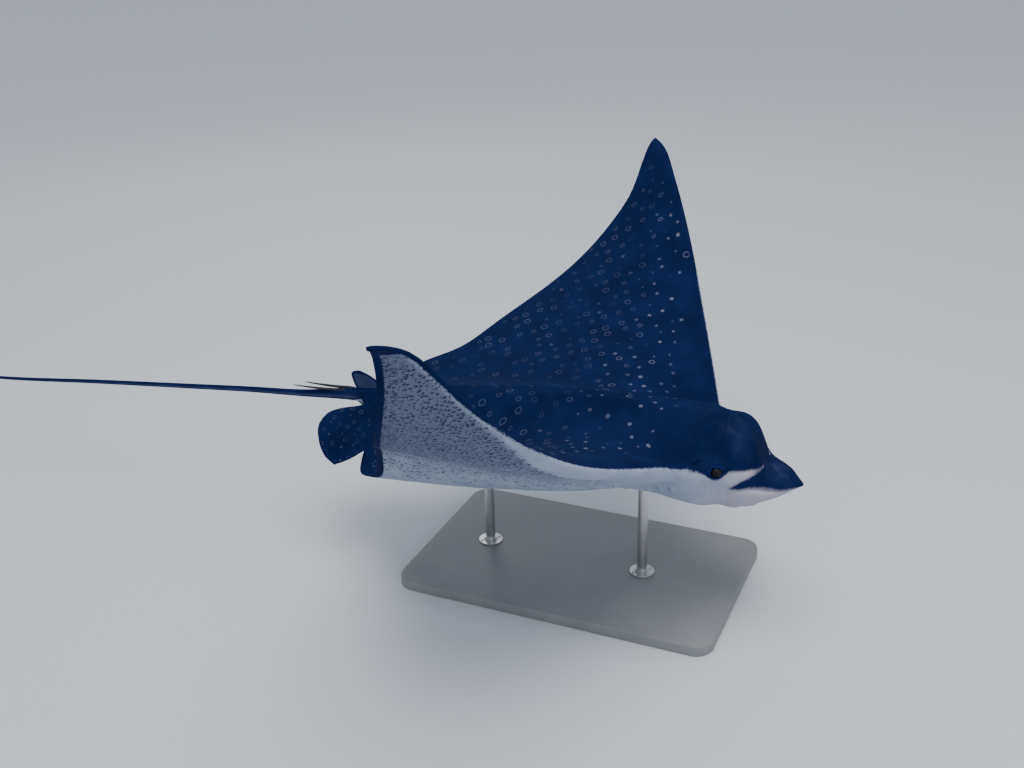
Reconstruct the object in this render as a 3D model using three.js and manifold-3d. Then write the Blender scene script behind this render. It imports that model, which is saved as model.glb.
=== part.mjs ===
// Spotted eagle ray, a life-size still model swimming with both wings raised, on a plain two-rod stand.
// Millimetres. +X runs to the snout, +Y to the ray's left, +Z up; the origin is under the middle of the base.
// The body is first described flat: t is the distance behind the snout tip and s the distance out from the
// midline, measured along the wing. Bending the flat wings then gives the swimming pose.
import * as THREE from "three";
import { mergeVertices } from "three/addons/utils/BufferGeometryUtils.js";
import Module from "manifold-3d";

// ---- driving dimensions ----
const halfSpan = 900; // half the disc width, flat
const rootT = 192; // where the wing's leading edge leaves the head
const rootS = 94; // half the head's width there
const leadSweep = 332; // how far the wing tip lies behind that point
const leadPower = 1.065; // over 1 bows the leading edge forward
const trailSweep = 399; // from the tip back to the root of the trailing edge
const trailPower = 1.22; // over 1 hollows the trailing edge
const tipRound = 12; // half the chord that the rounded tip keeps
const tipSweep = 16; // extra sweep, growing towards the tip
const tipBluntness = 24; // over 2; a higher power squares the tip off
const rootFillet = 26; // how far the leading edge runs forward along the head
const rootFilletReach = 16;
const rearLobe = 44; // the wing's free rear corner, beyond the trailing edge
const rearLobeS = 155;
const rearLobeWidth = 55;
const edgeThickness = 1.8;
const swimHeight = 340; // the body's axis above the floor
const balanceT = 470; // this point of the body is over the middle of the base
const gap = 0.3; // between neighbouring solids

// Where the whole body is parted into named solids.
const rostrumEnd = 92;
const headEnd = 262;
const trunkEnd = 985;
const wingCut = 150; // distance from the midline
const tailCuts = [1130, 1750, 2420, 3100];

const eye = { t: 157, out: 93, up: 8, radius: 14, long: 1.15, sink: 4.5 };
const plate = { length: 700, width: 440, thick: 24, corner: 40, bevel: 3 };
const rod = { radius: 11, seat: 14, bury: 26, ts: [330, 690] };

const clamp = (x, low, high) => Math.min(high, Math.max(low, x));
const lerp = (a, b, k) => a + (b - a) * k;
const smooth = (low, high, x) => {
  const k = clamp((x - low) / (high - low), 0, 1);
  return k * k * (3 - 2 * k);
};
const bell = (x, centre, width) => Math.exp(-(((x - centre) / width) ** 2));
const radians = (degrees) => (degrees * Math.PI) / 180;
const range = (count) => Array.from({ length: count }, (_, i) => i);

// A fair curve through stations [place, value], with no overshoot between them.
function fair(stations) {
  const last = stations.length - 1;
  const slopes = stations.slice(1).map(([x, v], i) => (v - stations[i][1]) / (x - stations[i][0]));
  const tangents = stations.map((_, i) => {
    if (i === 0) return slopes[0];
    if (i === last) return slopes[last - 1];
    const [a, b] = [slopes[i - 1], slopes[i]];
    return a * b <= 0 ? 0 : (2 * a * b) / (a + b);
  });
  return (x) => {
    if (x <= stations[0][0]) return stations[0][1];
    if (x >= stations[last][0]) return stations[last][1];
    const i = stations.findIndex(([place]) => place > x) - 1;
    const span = stations[i + 1][0] - stations[i][0];
    const k = (x - stations[i][0]) / span;
    const start = (1 + 2 * k) * (1 - k) ** 2 * stations[i][1] + k * (1 - k) ** 2 * span * tangents[i];
    const end = k * k * (3 - 2 * k) * stations[i + 1][1] + k * k * (k - 1) * span * tangents[i + 1];
    return start + end;
  };
}

// ---- planform ----
const lobeLength = 122;
const lobeHalfWidth = 78;
const lobeHalf = (t) => lobeHalfWidth * (1 - (1 - clamp(t / lobeLength, 0, 1)) ** 2) ** 0.92;
const bodyHalf = fair([[122, 78], [134, 77], [148, 87], [162, 93], [192, 95], [300, 96], [880, 66], [930, 46], [985, 24]]);
const innerHalf = (t) => (t < lobeLength ? lobeHalf(t) : bodyHalf(t));

const spanShare = (s) => clamp((s - rootS) / (halfSpan - rootS), 0, 1);
const tipCap = (s) => tipRound * Math.sqrt(1 - clamp(s / halfSpan, 0, 1) ** tipBluntness) * smooth(740, 880, s);
const tipT = (s) => rootT + leadSweep + tipSweep * spanShare(s) ** 2;
const leadT = (s) =>
  tipT(s) - leadSweep * (1 - spanShare(s) ** leadPower) - tipCap(s) -
  rootFillet * Math.exp(-Math.max(s - rootS, 0) / rootFilletReach);
const trailT = (s) =>
  tipT(s) + trailSweep * (1 - spanShare(s)) ** trailPower + tipCap(s) +
  rearLobe * bell(s, rearLobeS, rearLobeWidth);
const chordShare = (t, s) => clamp((t - leadT(s)) / Math.max(trailT(s) - leadT(s), 1), 0, 1);

// How far out the wing reaches at t: the outermost place whose chord holds t, or 0 for none.
function wingHalf(t) {
  const holds = (s) => t > leadT(s) && t < trailT(s);
  const steps = 200;
  const hit = range(steps + 1).reverse().find((i) => holds(lerp(rootS, halfSpan, i / steps)));
  if (hit === undefined) return 0;
  let low = lerp(rootS, halfSpan, hit / steps);
  let high = Math.min(halfSpan, lerp(rootS, halfSpan, (hit + 1) / steps));
  for (let i = 0; i < 20; i++) {
    const middle = (low + high) / 2;
    if (holds(middle)) low = middle;
    else high = middle;
  }
  return low;
}
const halfWidth = (t) => Math.max(innerHalf(t), wingHalf(t));

// ---- thickness ----
const topLine = fair([
  [0, -35], [25, -23], [50, -12], [70, -3], [81, 12], [89, 35], [97, 57], [107, 75], [122, 88],
  [142, 97], [170, 101], [280, 101], [420, 99], [560, 87], [700, 66], [820, 48], [900, 36], [985, 20],
]);
const bottomLine = fair([
  [0, -35], [25, -46], [60, -61], [88, -73], [110, -83], [140, -95], [175, -98], [230, -96],
  [285, -89], [340, -86], [480, -88], [600, -82], [720, -67], [840, -48], [920, -34], [985, -18],
]);
const edgeLine = fair([[0, -35], [60, -37], [122, -31], [158, -14], [192, -24], [236, -12], [330, -2], [400, 0], [985, 0]]);
const domeHalf = fair([
  [0, 60], [55, 44], [75, 50], [90, 66], [110, 84], [150, 104], [200, 98], [280, 94], [420, 106],
  [600, 108], [780, 84], [900, 58], [985, 40],
]);
const domePower = fair([[0, 1.5], [70, 2], [100, 3], [140, 3.4], [200, 2.8], [300, 1.8], [500, 1.5], [985, 1.6]]);
const keelHalf = fair([[0, 60], [60, 62], [122, 74], [170, 84], [260, 95], [420, 122], [700, 108], [900, 66], [985, 40]]);
const keelPower = fair([[0, 1.6], [122, 2.2], [200, 1.9], [340, 1.4], [985, 1.4]]);
const lobePlate = fair([[0, 2], [40, 9], [100, 12], [140, 7], [180, 0]]);
const lobeDroop = 9; // the sides of the rostral lobe turn down
const rimRound = fair([[0, 26], [90, 32], [130, 50], [160, 93], [192, 80], [240, 30], [900, 30], [940, 40], [985, 24]]);
// Behind the head its side wall spreads out gradually into the wing.
const wallHalf = fair([[192, 95], [240, 116], [300, 156], [380, 235], [480, 400]]);
const wallRound = fair([[192, 80], [300, 96], [480, 190]]);
const wingThickness = fair([[94, 72], [160, 68], [300, 52], [450, 36], [650, 19], [800, 10], [900, 6]]);
const aerofoil = (c) =>
  10 * (0.2969 * Math.sqrt(c) - 0.126 * c - 0.3516 * c ** 2 + 0.2843 * c ** 3 - 0.1036 * c ** 4);
const swell = (s, half, power) => 1 / (1 + (s / half) ** (2 * power));

// Height of the flat body's upper or lower surface at t and s, where the body is `half` wide.
function surfaceZ(t, s, half, upper) {
  const rim = clamp((half - s) / Math.min(rimRound(t), half), 0, 1);
  const round = Math.sqrt(1 - (1 - rim) ** 2);
  const wing = 0.5 * wingThickness(s) * aerofoil(chordShare(t, s)) * smooth(40, 200, s);
  const onWing = smooth(rootT - 30, rootT + 50, t);
  const sheet = (lobePlate(t) + wing) * lerp(round, 1, onWing);
  const height = upper ? topLine(t) - edgeLine(t) : edgeLine(t) - bottomLine(t);
  const wall = clamp((wallHalf(t) - s) / wallRound(t), 0, 1);
  const shoulder = upper ? lerp(1, Math.sqrt(1 - (1 - wall) ** 2), onWing) : 1;
  const hump = upper ? swell(s, domeHalf(t), domePower(t)) : swell(s, keelHalf(t), keelPower(t));
  const rise = sheet + (height - lobePlate(t)) * hump * Math.min(round, shoulder) + edgeThickness / 2;
  return edgeLine(t) + (upper ? rise : -rise);
}

// ---- pose ----
// Degrees that each wing slopes upward, by s.
const lift = {
  right: fair([[0, 0], [100, 23], [300, 16], [600, 47], [780, 64], [900, 12]]),
  left: fair([[0, 0], [100, 23], [300, 22], [600, 40], [780, 51], [900, 17]]),
};
const rearDroop = { right: 158, left: 20 }; // the inner rear corner hangs
const droopS = 172;
const droopWidth = { inward: 85, outward: 150 };
const droopPower = 1.15; // over 1, mostly near the trailing edge
const twist = { right: 30, left: 26 }; // the leading edge leads the beat, so it is carried higher
const tipRake = { right: -3, left: 21 }; // how far each tip trails behind its flat place
const rakePower = 12; // how closely that keeps to the tip
const bendSteps = 180;
function bendTable(slope) {
  const step = halfSpan / bendSteps;
  const table = [{ out: 0, up: 0 }];
  for (let i = 0; i < bendSteps; i++) {
    const angle = radians(slope((i + 0.5) * step));
    table.push({ out: table[i].out + step * Math.cos(angle), up: table[i].up + step * Math.sin(angle) });
  }
  return table;
}
const bends = { right: bendTable(lift.right), left: bendTable(lift.left) };
function posed(t, y, z) {
  const s = Math.abs(y);
  const side = y < 0 ? "right" : "left";
  const place = clamp((s / halfSpan) * bendSteps, 0, bendSteps - 1e-6);
  const below = bends[side][Math.floor(place)];
  const above = bends[side][Math.floor(place) + 1];
  const angle = radians(lift[side](s));
  const c = chordShare(t, s);
  const lobeTurn = lobeDroop * (s / lobeHalfWidth) ** 2 * (1 - smooth(90, 140, t));
  const droop = rearDroop[side] * bell(s, droopS, s < droopS ? droopWidth.inward : droopWidth.outward) * c ** droopPower + lobeTurn;
  const lead = twist[side] * (1 - 2 * c) * smooth(250, 650, s) * (1 - smooth(720, 900, s));
  const out = lerp(below.out, above.out, place % 1) - Math.sin(angle) * z;
  const up = lerp(below.up, above.up, place % 1) + Math.cos(angle) * z - droop + lead;
  const trailing = tipRake[side] * spanShare(s) ** rakePower;
  return new THREE.Vector3(balanceT - t - trailing, Math.sign(y) * out, swimHeight + up);
}

// ---- solids ----
const wasm = await Module();
wasm.setup();

function solid(geometry) {
  const bare = geometry.clone();
  for (const name of Object.keys(bare.attributes)) if (name !== "position") bare.deleteAttribute(name);
  const merged = mergeVertices(bare, 1e-3);
  const vertProperties = merged.attributes.position.array;
  const triVerts = new Uint32Array(merged.index.array);
  return new wasm.Manifold(new wasm.Mesh({ numProp: 3, vertProperties, triVerts }));
}

// A closed solid from rings of points, all with the same count, with a fan over each end.
function loft(rings) {
  const count = rings[0].length;
  const points = rings.flat();
  const faces = [];
  for (let i = 0; i + 1 < rings.length; i++)
    for (let j = 0; j < count; j++) {
      const [a, b] = [i * count + j, i * count + ((j + 1) % count)];
      faces.push(a, b, b + count, a, b + count, a + count);
    }
  const lastStart = (rings.length - 1) * count;
  for (const start of [0, lastStart]) {
    const ring = points.slice(start, start + count);
    points.push(ring.reduce((sum, p) => sum.add(p), new THREE.Vector3()).divideScalar(count));
    const centre = points.length - 1;
    for (let j = 0; j < count; j++) {
      const [a, b] = [start + j, start + ((j + 1) % count)];
      if (start) faces.push(centre, a, b);
      else faces.push(centre, b, a);
    }
  }
  const geometry = new THREE.BufferGeometry().setFromPoints(points);
  geometry.setIndex(faces);
  return solid(geometry);
}

function box(size, centre) {
  const [x, y, z] = centre;
  return solid(new THREE.BoxGeometry(...size).translate(x, y, z));
}
const huge = 4000;
// Everything between two distances behind the snout.
const slab = (from, to) => box([to - from, huge, huge], [balanceT - (from + to) / 2, 0, 0]);

// Body: rings across the flat body from the snout back, closely spaced over the trunk, then bent.
const trunkShare = 0.7; // of a narrow section's half-width that the trunk's points cover
const trunkReach = 165; // and how far out they go on a wide one
const trunkPoints = 5;
const wingPoints = 5;
function sectionPlaces(half) {
  const split = 1 / Math.hypot(1 / (trunkShare * half), 1 / trunkReach);
  const inner = range(trunkPoints).map((i) => (split * i) / trunkPoints);
  const outer = range(wingPoints + 1).map((i) => lerp(split, half, Math.sin((Math.PI / 2) * (i / wingPoints)) ** 0.85));
  return [...inner, ...outer];
}
function bodyRing(t, grow) {
  const half = halfWidth(t);
  const places = sectionPlaces(half);
  const across = [...places.slice(1).reverse().map((s) => -s), ...places];
  const widen = (y) => y * (1 + grow / half);
  const top = across.map((y) => posed(t, widen(y), surfaceZ(t, Math.abs(y), half, true) + grow));
  const bottom = across.map((y) => posed(t, widen(y), surfaceZ(t, Math.abs(y), half, false) - grow));
  return [...top, ...bottom.reverse()];
}
// [from, to, how many stations]
const stretches = [
  [1.5, 62, 5], [62, 104, 6], [104, 150, 4], [150, 200, 5], [200, 300, 5], [300, 500, 5], [500, 540, 4],
  [540, 580, 4], [580, 860, 6], [860, 945, 6], [945, 985, 2],
];
const stations = stretches.flatMap(([from, to, count]) => range(count).map((i) => lerp(from, to, i / count)));
stations.push(trunkEnd);
const bodyLoft = (grow) => loft(stations.map((t) => bodyRing(t, grow)));
const wholeBody = bodyLoft(0);

// Tail: round sections along a drooping path.
const tailUp = fair([
  [985, 1], [1047, -7], [1161, -24], [1311, -39], [1476, -58], [1782, -94], [2116, -135], [2600, -172], [3100, -180],
]);
const tailSide = fair([[985, 0], [2116, 0], [3100, 70]]);
const tailRadius = fair([
  [985, 20], [1010, 15.5], [1060, 12.5], [1130, 9.2], [1200, 7.6], [1300, 6.9], [1750, 5.4], [2420, 3.1],
  [3090, 1.4], [3100, 0.8],
]);
const tailBreadth = fair([[985, 1.2], [1130, 1.12], [1500, 1]]);
function tailRing(t, grow, sides) {
  return range(sides).map((i) => {
    const angle = (-2 * Math.PI * i) / sides;
    const radius = tailRadius(t) + grow;
    const y = tailSide(t) + radius * tailBreadth(t) * Math.cos(angle);
    return new THREE.Vector3(balanceT - t, y, swimHeight + tailUp(t) + radius * Math.sin(angle));
  });
}
function tailLength(from, to, count, sides, grow = 0) {
  return loft(range(count + 1).map((i) => tailRing(lerp(from, to, i / count), grow, sides)));
}

// Pelvic fin: a rounded paddle hanging outward and down from the body's side.
const pelvic = { width: 158, slope: 50, rootOut: 22, rootUp: -2, thick: 12, bow: 9 };
const pelvicFront = fair([[0, 866], [0.5, 908], [0.81, 961], [0.92, 986], [1, 1012]]); // by share of the width
const pelvicRear = fair([[0, 962], [0.1, 988], [0.18, 1029], [0.3, 1061], [0.5, 1073], [0.72, 1062], [0.9, 1041], [1, 1014]]);
// A closed loop round a thin fin: one face from front to rear, then the other back.
const finShares = range(7).map((i) => 0.5 - 0.5 * Math.cos((Math.PI * i) / 6));
const finLoop = (point) => [...finShares.map((c) => point(c, 1)), ...[...finShares].reverse().map((c) => point(c, -1))];
const finHalf = (c, thick) => 0.5 * thick * aerofoil(c) + edgeThickness / 2;
function pelvicFin(side) {
  const angle = radians(pelvic.slope);
  const ring = (share) => {
    const thick = lerp(pelvic.thick, 2.4, share ** 0.7);
    const point = (c, face) => {
      const along = pelvic.width * share;
      const off = face * finHalf(c, thick) + pelvic.bow * Math.sin(Math.PI * share);
      const out = pelvic.rootOut + along * Math.cos(angle) + off * Math.sin(angle);
      const up = pelvic.rootUp - along * Math.sin(angle) + off * Math.cos(angle);
      const t = lerp(pelvicFront(share), pelvicRear(share), c);
      return new THREE.Vector3(balanceT - t, side * out, swimHeight + up);
    };
    return side < 0 ? finLoop(point) : finLoop(point).reverse();
  };
  return loft([0, 0.12, 0.25, 0.45, 0.65, 0.82, 0.94, 1].map(ring));
}

// Dorsal fin: a low rounded lobe on the tail's base.
const dorsal = { rootUp: 4, height: 52, thick: 9 };
const dorsalFront = fair([[0, 922], [0.6, 956], [0.9, 984], [1, 1002]]);
const dorsalRear = fair([[0, 1010], [0.3, 1018], [0.8, 1025], [0.94, 1020], [1, 1008]]);
function dorsalFin() {
  const ring = (share) => {
    const point = (c, face) => {
      const off = face * finHalf(c, lerp(dorsal.thick, 2.4, share));
      const t = lerp(dorsalFront(share), dorsalRear(share), c);
      return new THREE.Vector3(balanceT - t, off, swimHeight + dorsal.rootUp + dorsal.height * share);
    };
    return finLoop(point);
  };
  return loft([0, 0.3, 0.6, 0.8, 0.93, 1].map(ring));
}

// Tail sting: a flattened blade from the top of the tail, sagging a little and tapering to a point.
const blade = { rootHalf: 4.2, tipHalf: 1, flatness: 0.7, sag: 2 };
function sting([fromT, fromY, fromUp], [toT, toY, toUp]) {
  const ring = (share) => {
    const half = lerp(blade.rootHalf, blade.tipHalf, share ** 2) * Math.min(1, 0.6 + share * 4);
    const middle = lerp(fromUp, toUp, share) - blade.sag * Math.sin(Math.PI * share);
    return range(8).map((i) => {
      const angle = (-2 * Math.PI * i) / 8;
      const y = lerp(fromY, toY, share) + half * Math.cos(angle);
      const up = middle + blade.flatness * half * Math.sin(angle);
      return new THREE.Vector3(balanceT - lerp(fromT, toT, share), y, swimHeight + up);
    });
  };
  return loft(range(7).map((i) => ring(i / 6)));
}

function eyeball(side, grow) {
  const ball = new THREE.SphereGeometry(eye.radius + grow, 12, 7);
  ball.scale(eye.long, 0.8, 0.92);
  ball.translate(balanceT - eye.t, side * (eye.out - eye.sink), swimHeight + eye.up);
  return solid(ball);
}

// ---- the model ----
const rostrumCut = slab(-100, rostrumEnd - gap / 2);
const headCut = slab(rostrumEnd + gap / 2, headEnd - gap / 2);
const trunkCut = slab(headEnd + gap / 2, trunkEnd);
const middle = box([huge, 2 * wingCut - gap, huge], [0, 0, 0]);
const wingSide = (side) => box([huge, huge, huge], [0, side * (wingCut + gap / 2 + huge / 2), 0]);

const tailBase = tailLength(trunkEnd + gap, tailCuts[0] - gap / 2, 8, 12);
const tailRoom = tailLength(trunkEnd + gap, tailCuts[0] - gap / 2, 8, 12, gap);
const bodyRoom = bodyLoft(gap).add(tailRoom).add(tailRoom.translate([1, 0, 0])); // also spans the gap between them
const rods = rod.ts.map((t) => {
  const top = swimHeight + bottomLine(t) + rod.bury;
  const bottom = plate.thick - rod.seat;
  const make = (grow) => {
    const geometry = new THREE.CylinderGeometry(rod.radius + grow, rod.radius + grow, top - bottom + 2 * grow, 20);
    return solid(geometry.rotateX(Math.PI / 2).translate(balanceT - t, 0, (top + bottom) / 2));
  };
  return { body: make(0), hole: make(gap) };
});
const eyeHoles = eyeball(-1, gap).add(eyeball(1, gap));
const rodHoles = rods[0].hole.add(rods[1].hole);

const group = new THREE.Group();
function add(name, made, colour, roughness, metalness = 0) {
  const mesh = made.getMesh();
  const geometry = new THREE.BufferGeometry();
  geometry.setAttribute("position", new THREE.BufferAttribute(mesh.vertProperties, 3));
  geometry.setIndex(new THREE.BufferAttribute(mesh.triVerts, 1));
  geometry.computeVertexNormals();
  const node = new THREE.Mesh(geometry, new THREE.MeshStandardMaterial({ color: colour, roughness, metalness }));
  node.name = name;
  group.add(node);
}
const skin = new THREE.Color(0.035, 0.05, 0.11);
const darkSkin = new THREE.Color(0.03, 0.035, 0.06);
const horn = new THREE.Color(0.28, 0.24, 0.2);
const black = new THREE.Color(0.012, 0.012, 0.014);
const grey = new THREE.Color(0.32, 0.33, 0.34);
const steel = new THREE.Color(0.6, 0.6, 0.62);

add("rostrum", wholeBody.intersect(rostrumCut), skin, 0.45);
add("head", wholeBody.intersect(headCut).intersect(middle).subtract(eyeHoles), skin, 0.45);
add("trunk", wholeBody.intersect(trunkCut).intersect(middle).subtract(rodHoles), skin, 0.45);
add("wing_right", wholeBody.intersect(wingSide(-1)), skin, 0.45);
add("wing_left", wholeBody.intersect(wingSide(1)), skin, 0.45);
add("pelvic_fin_right", pelvicFin(-1).subtract(bodyRoom), skin, 0.45);
add("pelvic_fin_left", pelvicFin(1).subtract(bodyRoom), skin, 0.45);
add("dorsal_fin", dorsalFin().subtract(bodyRoom), skin, 0.45);
add("tail_base", tailBase, darkSkin, 0.5);
add("tail_front", tailLength(tailCuts[0] + gap / 2, tailCuts[1] - gap / 2, 8, 8), darkSkin, 0.5);
add("tail_middle", tailLength(tailCuts[1] + gap / 2, tailCuts[2] - gap / 2, 8, 8), darkSkin, 0.5);
add("tail_tip", tailLength(tailCuts[2] + gap / 2, tailCuts[3], 8, 8), darkSkin, 0.5);
add("sting_upper", sting([1022, 3, 10], [1157, 8, 1.5]).subtract(bodyRoom), horn, 0.4);
add("sting_lower", sting([1030, -4, 5], [1178, -9, -2.6]).subtract(bodyRoom), horn, 0.4);
add("eye_right", eyeball(-1, 0), black, 0.08);
add("eye_left", eyeball(1, 0), black, 0.08);

const corner = plate.corner;
const [endX, endY] = [plate.length / 2 - plate.bevel, plate.width / 2 - plate.bevel];
const outline = new THREE.Shape();
outline.absarc(endX - corner, endY - corner, corner, 0, Math.PI / 2);
outline.absarc(corner - endX, endY - corner, corner, Math.PI / 2, Math.PI);
outline.absarc(corner - endX, corner - endY, corner, Math.PI, 1.5 * Math.PI);
outline.absarc(endX - corner, corner - endY, corner, 1.5 * Math.PI, 2 * Math.PI);
outline.closePath();
const slabShape = new THREE.ExtrudeGeometry(outline, {
  depth: plate.thick - 2 * plate.bevel, bevelThickness: plate.bevel, bevelSize: plate.bevel, bevelSegments: 1,
  curveSegments: 4,
});
slabShape.translate(0, 0, plate.bevel);
add("stand_base", solid(slabShape).subtract(rodHoles), grey, 0.6);
add("stand_rod_front", rods[0].body, steel, 0.3, 1);
add("stand_rod_rear", rods[1].body, steel, 0.3, 1);

export default group;
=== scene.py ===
import math
import bmesh
import bpy
import numpy as np
from mathutils import Matrix, Vector
from mathutils.kdtree import KDTree


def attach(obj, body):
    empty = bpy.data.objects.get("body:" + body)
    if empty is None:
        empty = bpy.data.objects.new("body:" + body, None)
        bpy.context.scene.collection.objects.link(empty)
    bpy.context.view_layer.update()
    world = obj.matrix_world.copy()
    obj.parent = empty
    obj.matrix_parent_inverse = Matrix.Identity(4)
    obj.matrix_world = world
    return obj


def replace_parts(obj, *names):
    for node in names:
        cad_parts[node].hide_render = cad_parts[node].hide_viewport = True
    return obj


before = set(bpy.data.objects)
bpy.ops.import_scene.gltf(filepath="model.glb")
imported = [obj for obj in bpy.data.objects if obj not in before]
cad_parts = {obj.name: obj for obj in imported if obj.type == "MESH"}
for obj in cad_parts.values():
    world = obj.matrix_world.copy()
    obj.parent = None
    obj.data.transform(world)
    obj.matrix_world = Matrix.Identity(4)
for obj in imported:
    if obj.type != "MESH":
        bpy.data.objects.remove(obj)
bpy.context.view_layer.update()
print("frame loaded:", len(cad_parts), "solids")

# Shape functions work in millimetres on the flat body: t is the distance behind the
# snout tip and s the distance out from the midline. Meshes are made in metres.
mm = 0.001


def clamp(x, low, high):
    return np.clip(x, low, high)


def lerp(a, b, k):
    return a + (b - a) * k


def smooth(low, high, x):
    k = clamp((x - low) / (high - low), 0, 1)
    return k * k * (3 - 2 * k)


def bell(x, centre, width):
    return np.exp(-(((x - centre) / width) ** 2))


def fair(*stations):
    # a fair curve through stations (place, value), with no overshoot between them
    places, values = np.array(stations, float).T
    slopes = np.diff(values) / np.diff(places)
    before, after = slopes[:-1], slopes[1:]
    turning = before * after <= 0
    middle = np.where(turning, 0, 2 * before * after / np.where(turning, 1, before + after))
    tangents = np.concatenate([slopes[:1], middle, slopes[-1:]])

    def curve(x):
        x = clamp(x, places[0], places[-1])
        i = clamp(np.searchsorted(places, x, side="right") - 1, 0, len(places) - 2)
        span = places[i + 1] - places[i]
        k = (x - places[i]) / span
        start = (1 + 2 * k) * (1 - k) ** 2 * values[i] + k * (1 - k) ** 2 * span * tangents[i]
        end = k * k * (3 - 2 * k) * values[i + 1] + k * k * (k - 1) * span * tangents[i + 1]
        return start + end

    return curve


body = {
    "halfSpan": 900,
    "rootT": 192,
    "rootS": 94,
    "leadSweep": 332,
    "leadPower": 1.065,
    "trailSweep": 399,
    "trailPower": 1.22,
    "tipRound": 12,
    "tipBluntness": 24,
    "tipSweep": 16,
    "rootFillet": 26,
    "rootFilletReach": 16,
    "rearLobe": 44,
    "rearLobeS": 155,
    "rearLobeWidth": 55,
    "edgeThickness": 1.8,
    "swimHeight": 340,
    "balanceT": 470,
    "lobeLength": 122,
    "lobeHalfWidth": 78,
    "lobeDroop": 9,
    "droopRight": 158,
    "droopLeft": 20,
    "droopS": 172,
    "droopPower": 1.15,
    "rakeRight": -3,
    "rakeLeft": 21,
    "twistRight": 30,
    "twistLeft": 26,
    "scallop": 0.9,  # ripple of the trailing edge
    "scallopPitch": 17,
    "finRayPitch": 26,
    "finRayHeight": 0.35,
    "spineRidge": 1.6,
}
halfSpan, rootS, rootT = body["halfSpan"], body["rootS"], body["rootT"]
swimHeight, balanceT = body["swimHeight"], body["balanceT"]


def lobeHalf(t):
    share = clamp(t / body["lobeLength"], 0, 1)
    return body["lobeHalfWidth"] * (1 - (1 - share) ** 2) ** 0.92


bodyHalf = fair(
    (122, 78), (134, 77), (148, 87), (162, 93), (192, 95), (300, 96), (880, 66), (930, 46), (985, 24),
)
topLine = fair(
    (0, -35), (25, -23), (50, -12), (70, -3), (81, 12), (89, 35), (97, 57), (107, 75), (122, 88),
    (142, 97), (170, 101), (280, 101), (420, 99), (560, 87), (700, 66), (820, 48), (900, 36), (985, 20),
)
bottomLine = fair(
    (0, -35), (25, -46), (60, -61), (88, -73), (110, -83), (140, -95), (175, -98), (230, -96),
    (285, -89), (340, -86), (480, -88), (600, -82), (720, -67), (840, -48), (920, -34), (985, -18),
)
edgeLine = fair(
    (0, -35), (60, -37), (122, -31), (158, -14), (192, -24), (236, -12), (330, -2), (400, 0), (985, 0),
)
domeHalf = fair(
    (0, 60), (55, 44), (75, 50), (90, 66), (110, 84), (150, 104), (200, 98), (280, 94), (420, 106),
    (600, 108), (780, 84), (900, 58), (985, 40),
)
domePower = fair(
    (0, 1.5), (70, 2), (100, 3), (140, 3.4), (200, 2.8), (300, 1.8), (500, 1.5), (985, 1.6),
)
keelHalf = fair(
    (0, 60), (60, 62), (122, 74), (170, 84), (260, 95), (420, 122), (700, 108), (900, 66), (985, 40),
)
keelPower = fair((0, 1.6), (122, 2.2), (200, 1.9), (340, 1.4), (985, 1.4))
lobePlate = fair((0, 2), (40, 9), (100, 12), (140, 7), (180, 0))
rimRound = fair(
    (0, 26), (90, 32), (130, 50), (160, 93), (192, 80), (240, 30), (900, 30), (940, 40), (985, 24),
)
wallHalf = fair((192, 95), (240, 116), (300, 156), (380, 235), (480, 400))
wallRound = fair((192, 80), (300, 96), (480, 190))
wingThickness = fair((94, 72), (160, 68), (300, 52), (450, 36), (650, 19), (800, 10), (900, 6))
liftRight = fair((0, 0), (100, 23), (300, 16), (600, 47), (780, 64), (900, 12))
liftLeft = fair((0, 0), (100, 23), (300, 22), (600, 40), (780, 51), (900, 17))


def innerHalf(t):
    return np.where(t < body["lobeLength"], lobeHalf(t), bodyHalf(t))


def spanShare(s):
    return clamp((s - rootS) / (halfSpan - rootS), 0, 1)


def tipCap(s):
    rounding = np.sqrt(1 - clamp(s / halfSpan, 0, 1) ** body["tipBluntness"])
    return body["tipRound"] * rounding * smooth(740, 880, s)


def tipT(s):
    return rootT + body["leadSweep"] + body["tipSweep"] * spanShare(s) ** 2


def leadT(s):
    sweep = body["leadSweep"] * (1 - spanShare(s) ** body["leadPower"])
    fillet = body["rootFillet"] * np.exp(-np.maximum(s - rootS, 0) / body["rootFilletReach"])
    return tipT(s) - sweep - tipCap(s) - fillet


def trailT(s):
    sweep = body["trailSweep"] * (1 - spanShare(s)) ** body["trailPower"]
    lobe = body["rearLobe"] * bell(s, body["rearLobeS"], body["rearLobeWidth"])
    return tipT(s) + sweep + tipCap(s) + lobe


def scallops(s):
    # the fin rays lift the trailing edge into small scallops, strongest towards the tip
    ripple = np.abs(np.sin(math.pi * s / body["scallopPitch"]))
    return body["scallop"] * (ripple - 1) * smooth(260, 600, s) * (1 - smooth(830, 880, s))


def chordShare(t, s):
    return clamp((t - leadT(s)) / np.maximum(trailT(s) - leadT(s), 1), 0, 1)


def wingHalf(t):
    # outermost place whose chord holds t, or 0 for none
    last = 1600
    grid = np.linspace(rootS, halfSpan, last + 1)
    ahead, behind = leadT(grid), trailT(grid) + scallops(grid)
    found = []
    for station in t:
        inside = np.nonzero((station > ahead) & (station < behind))[0]
        if len(inside) == 0:
            found.append(0)
            continue
        low, high = grid[inside[-1]], grid[min(inside[-1] + 1, last)]
        for _ in range(14):
            middle = (low + high) / 2
            holds = leadT(middle) < station < trailT(middle) + scallops(middle)
            low, high = (middle, high) if holds else (low, middle)
        found.append(low)
    return np.array(found)


def aerofoil(c):
    return 10 * (0.2969 * np.sqrt(c) - 0.126 * c - 0.3516 * c**2 + 0.2843 * c**3 - 0.1036 * c**4)


def swell(s, half, power):
    return 1 / (1 + (s / half) ** (2 * power))


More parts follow.
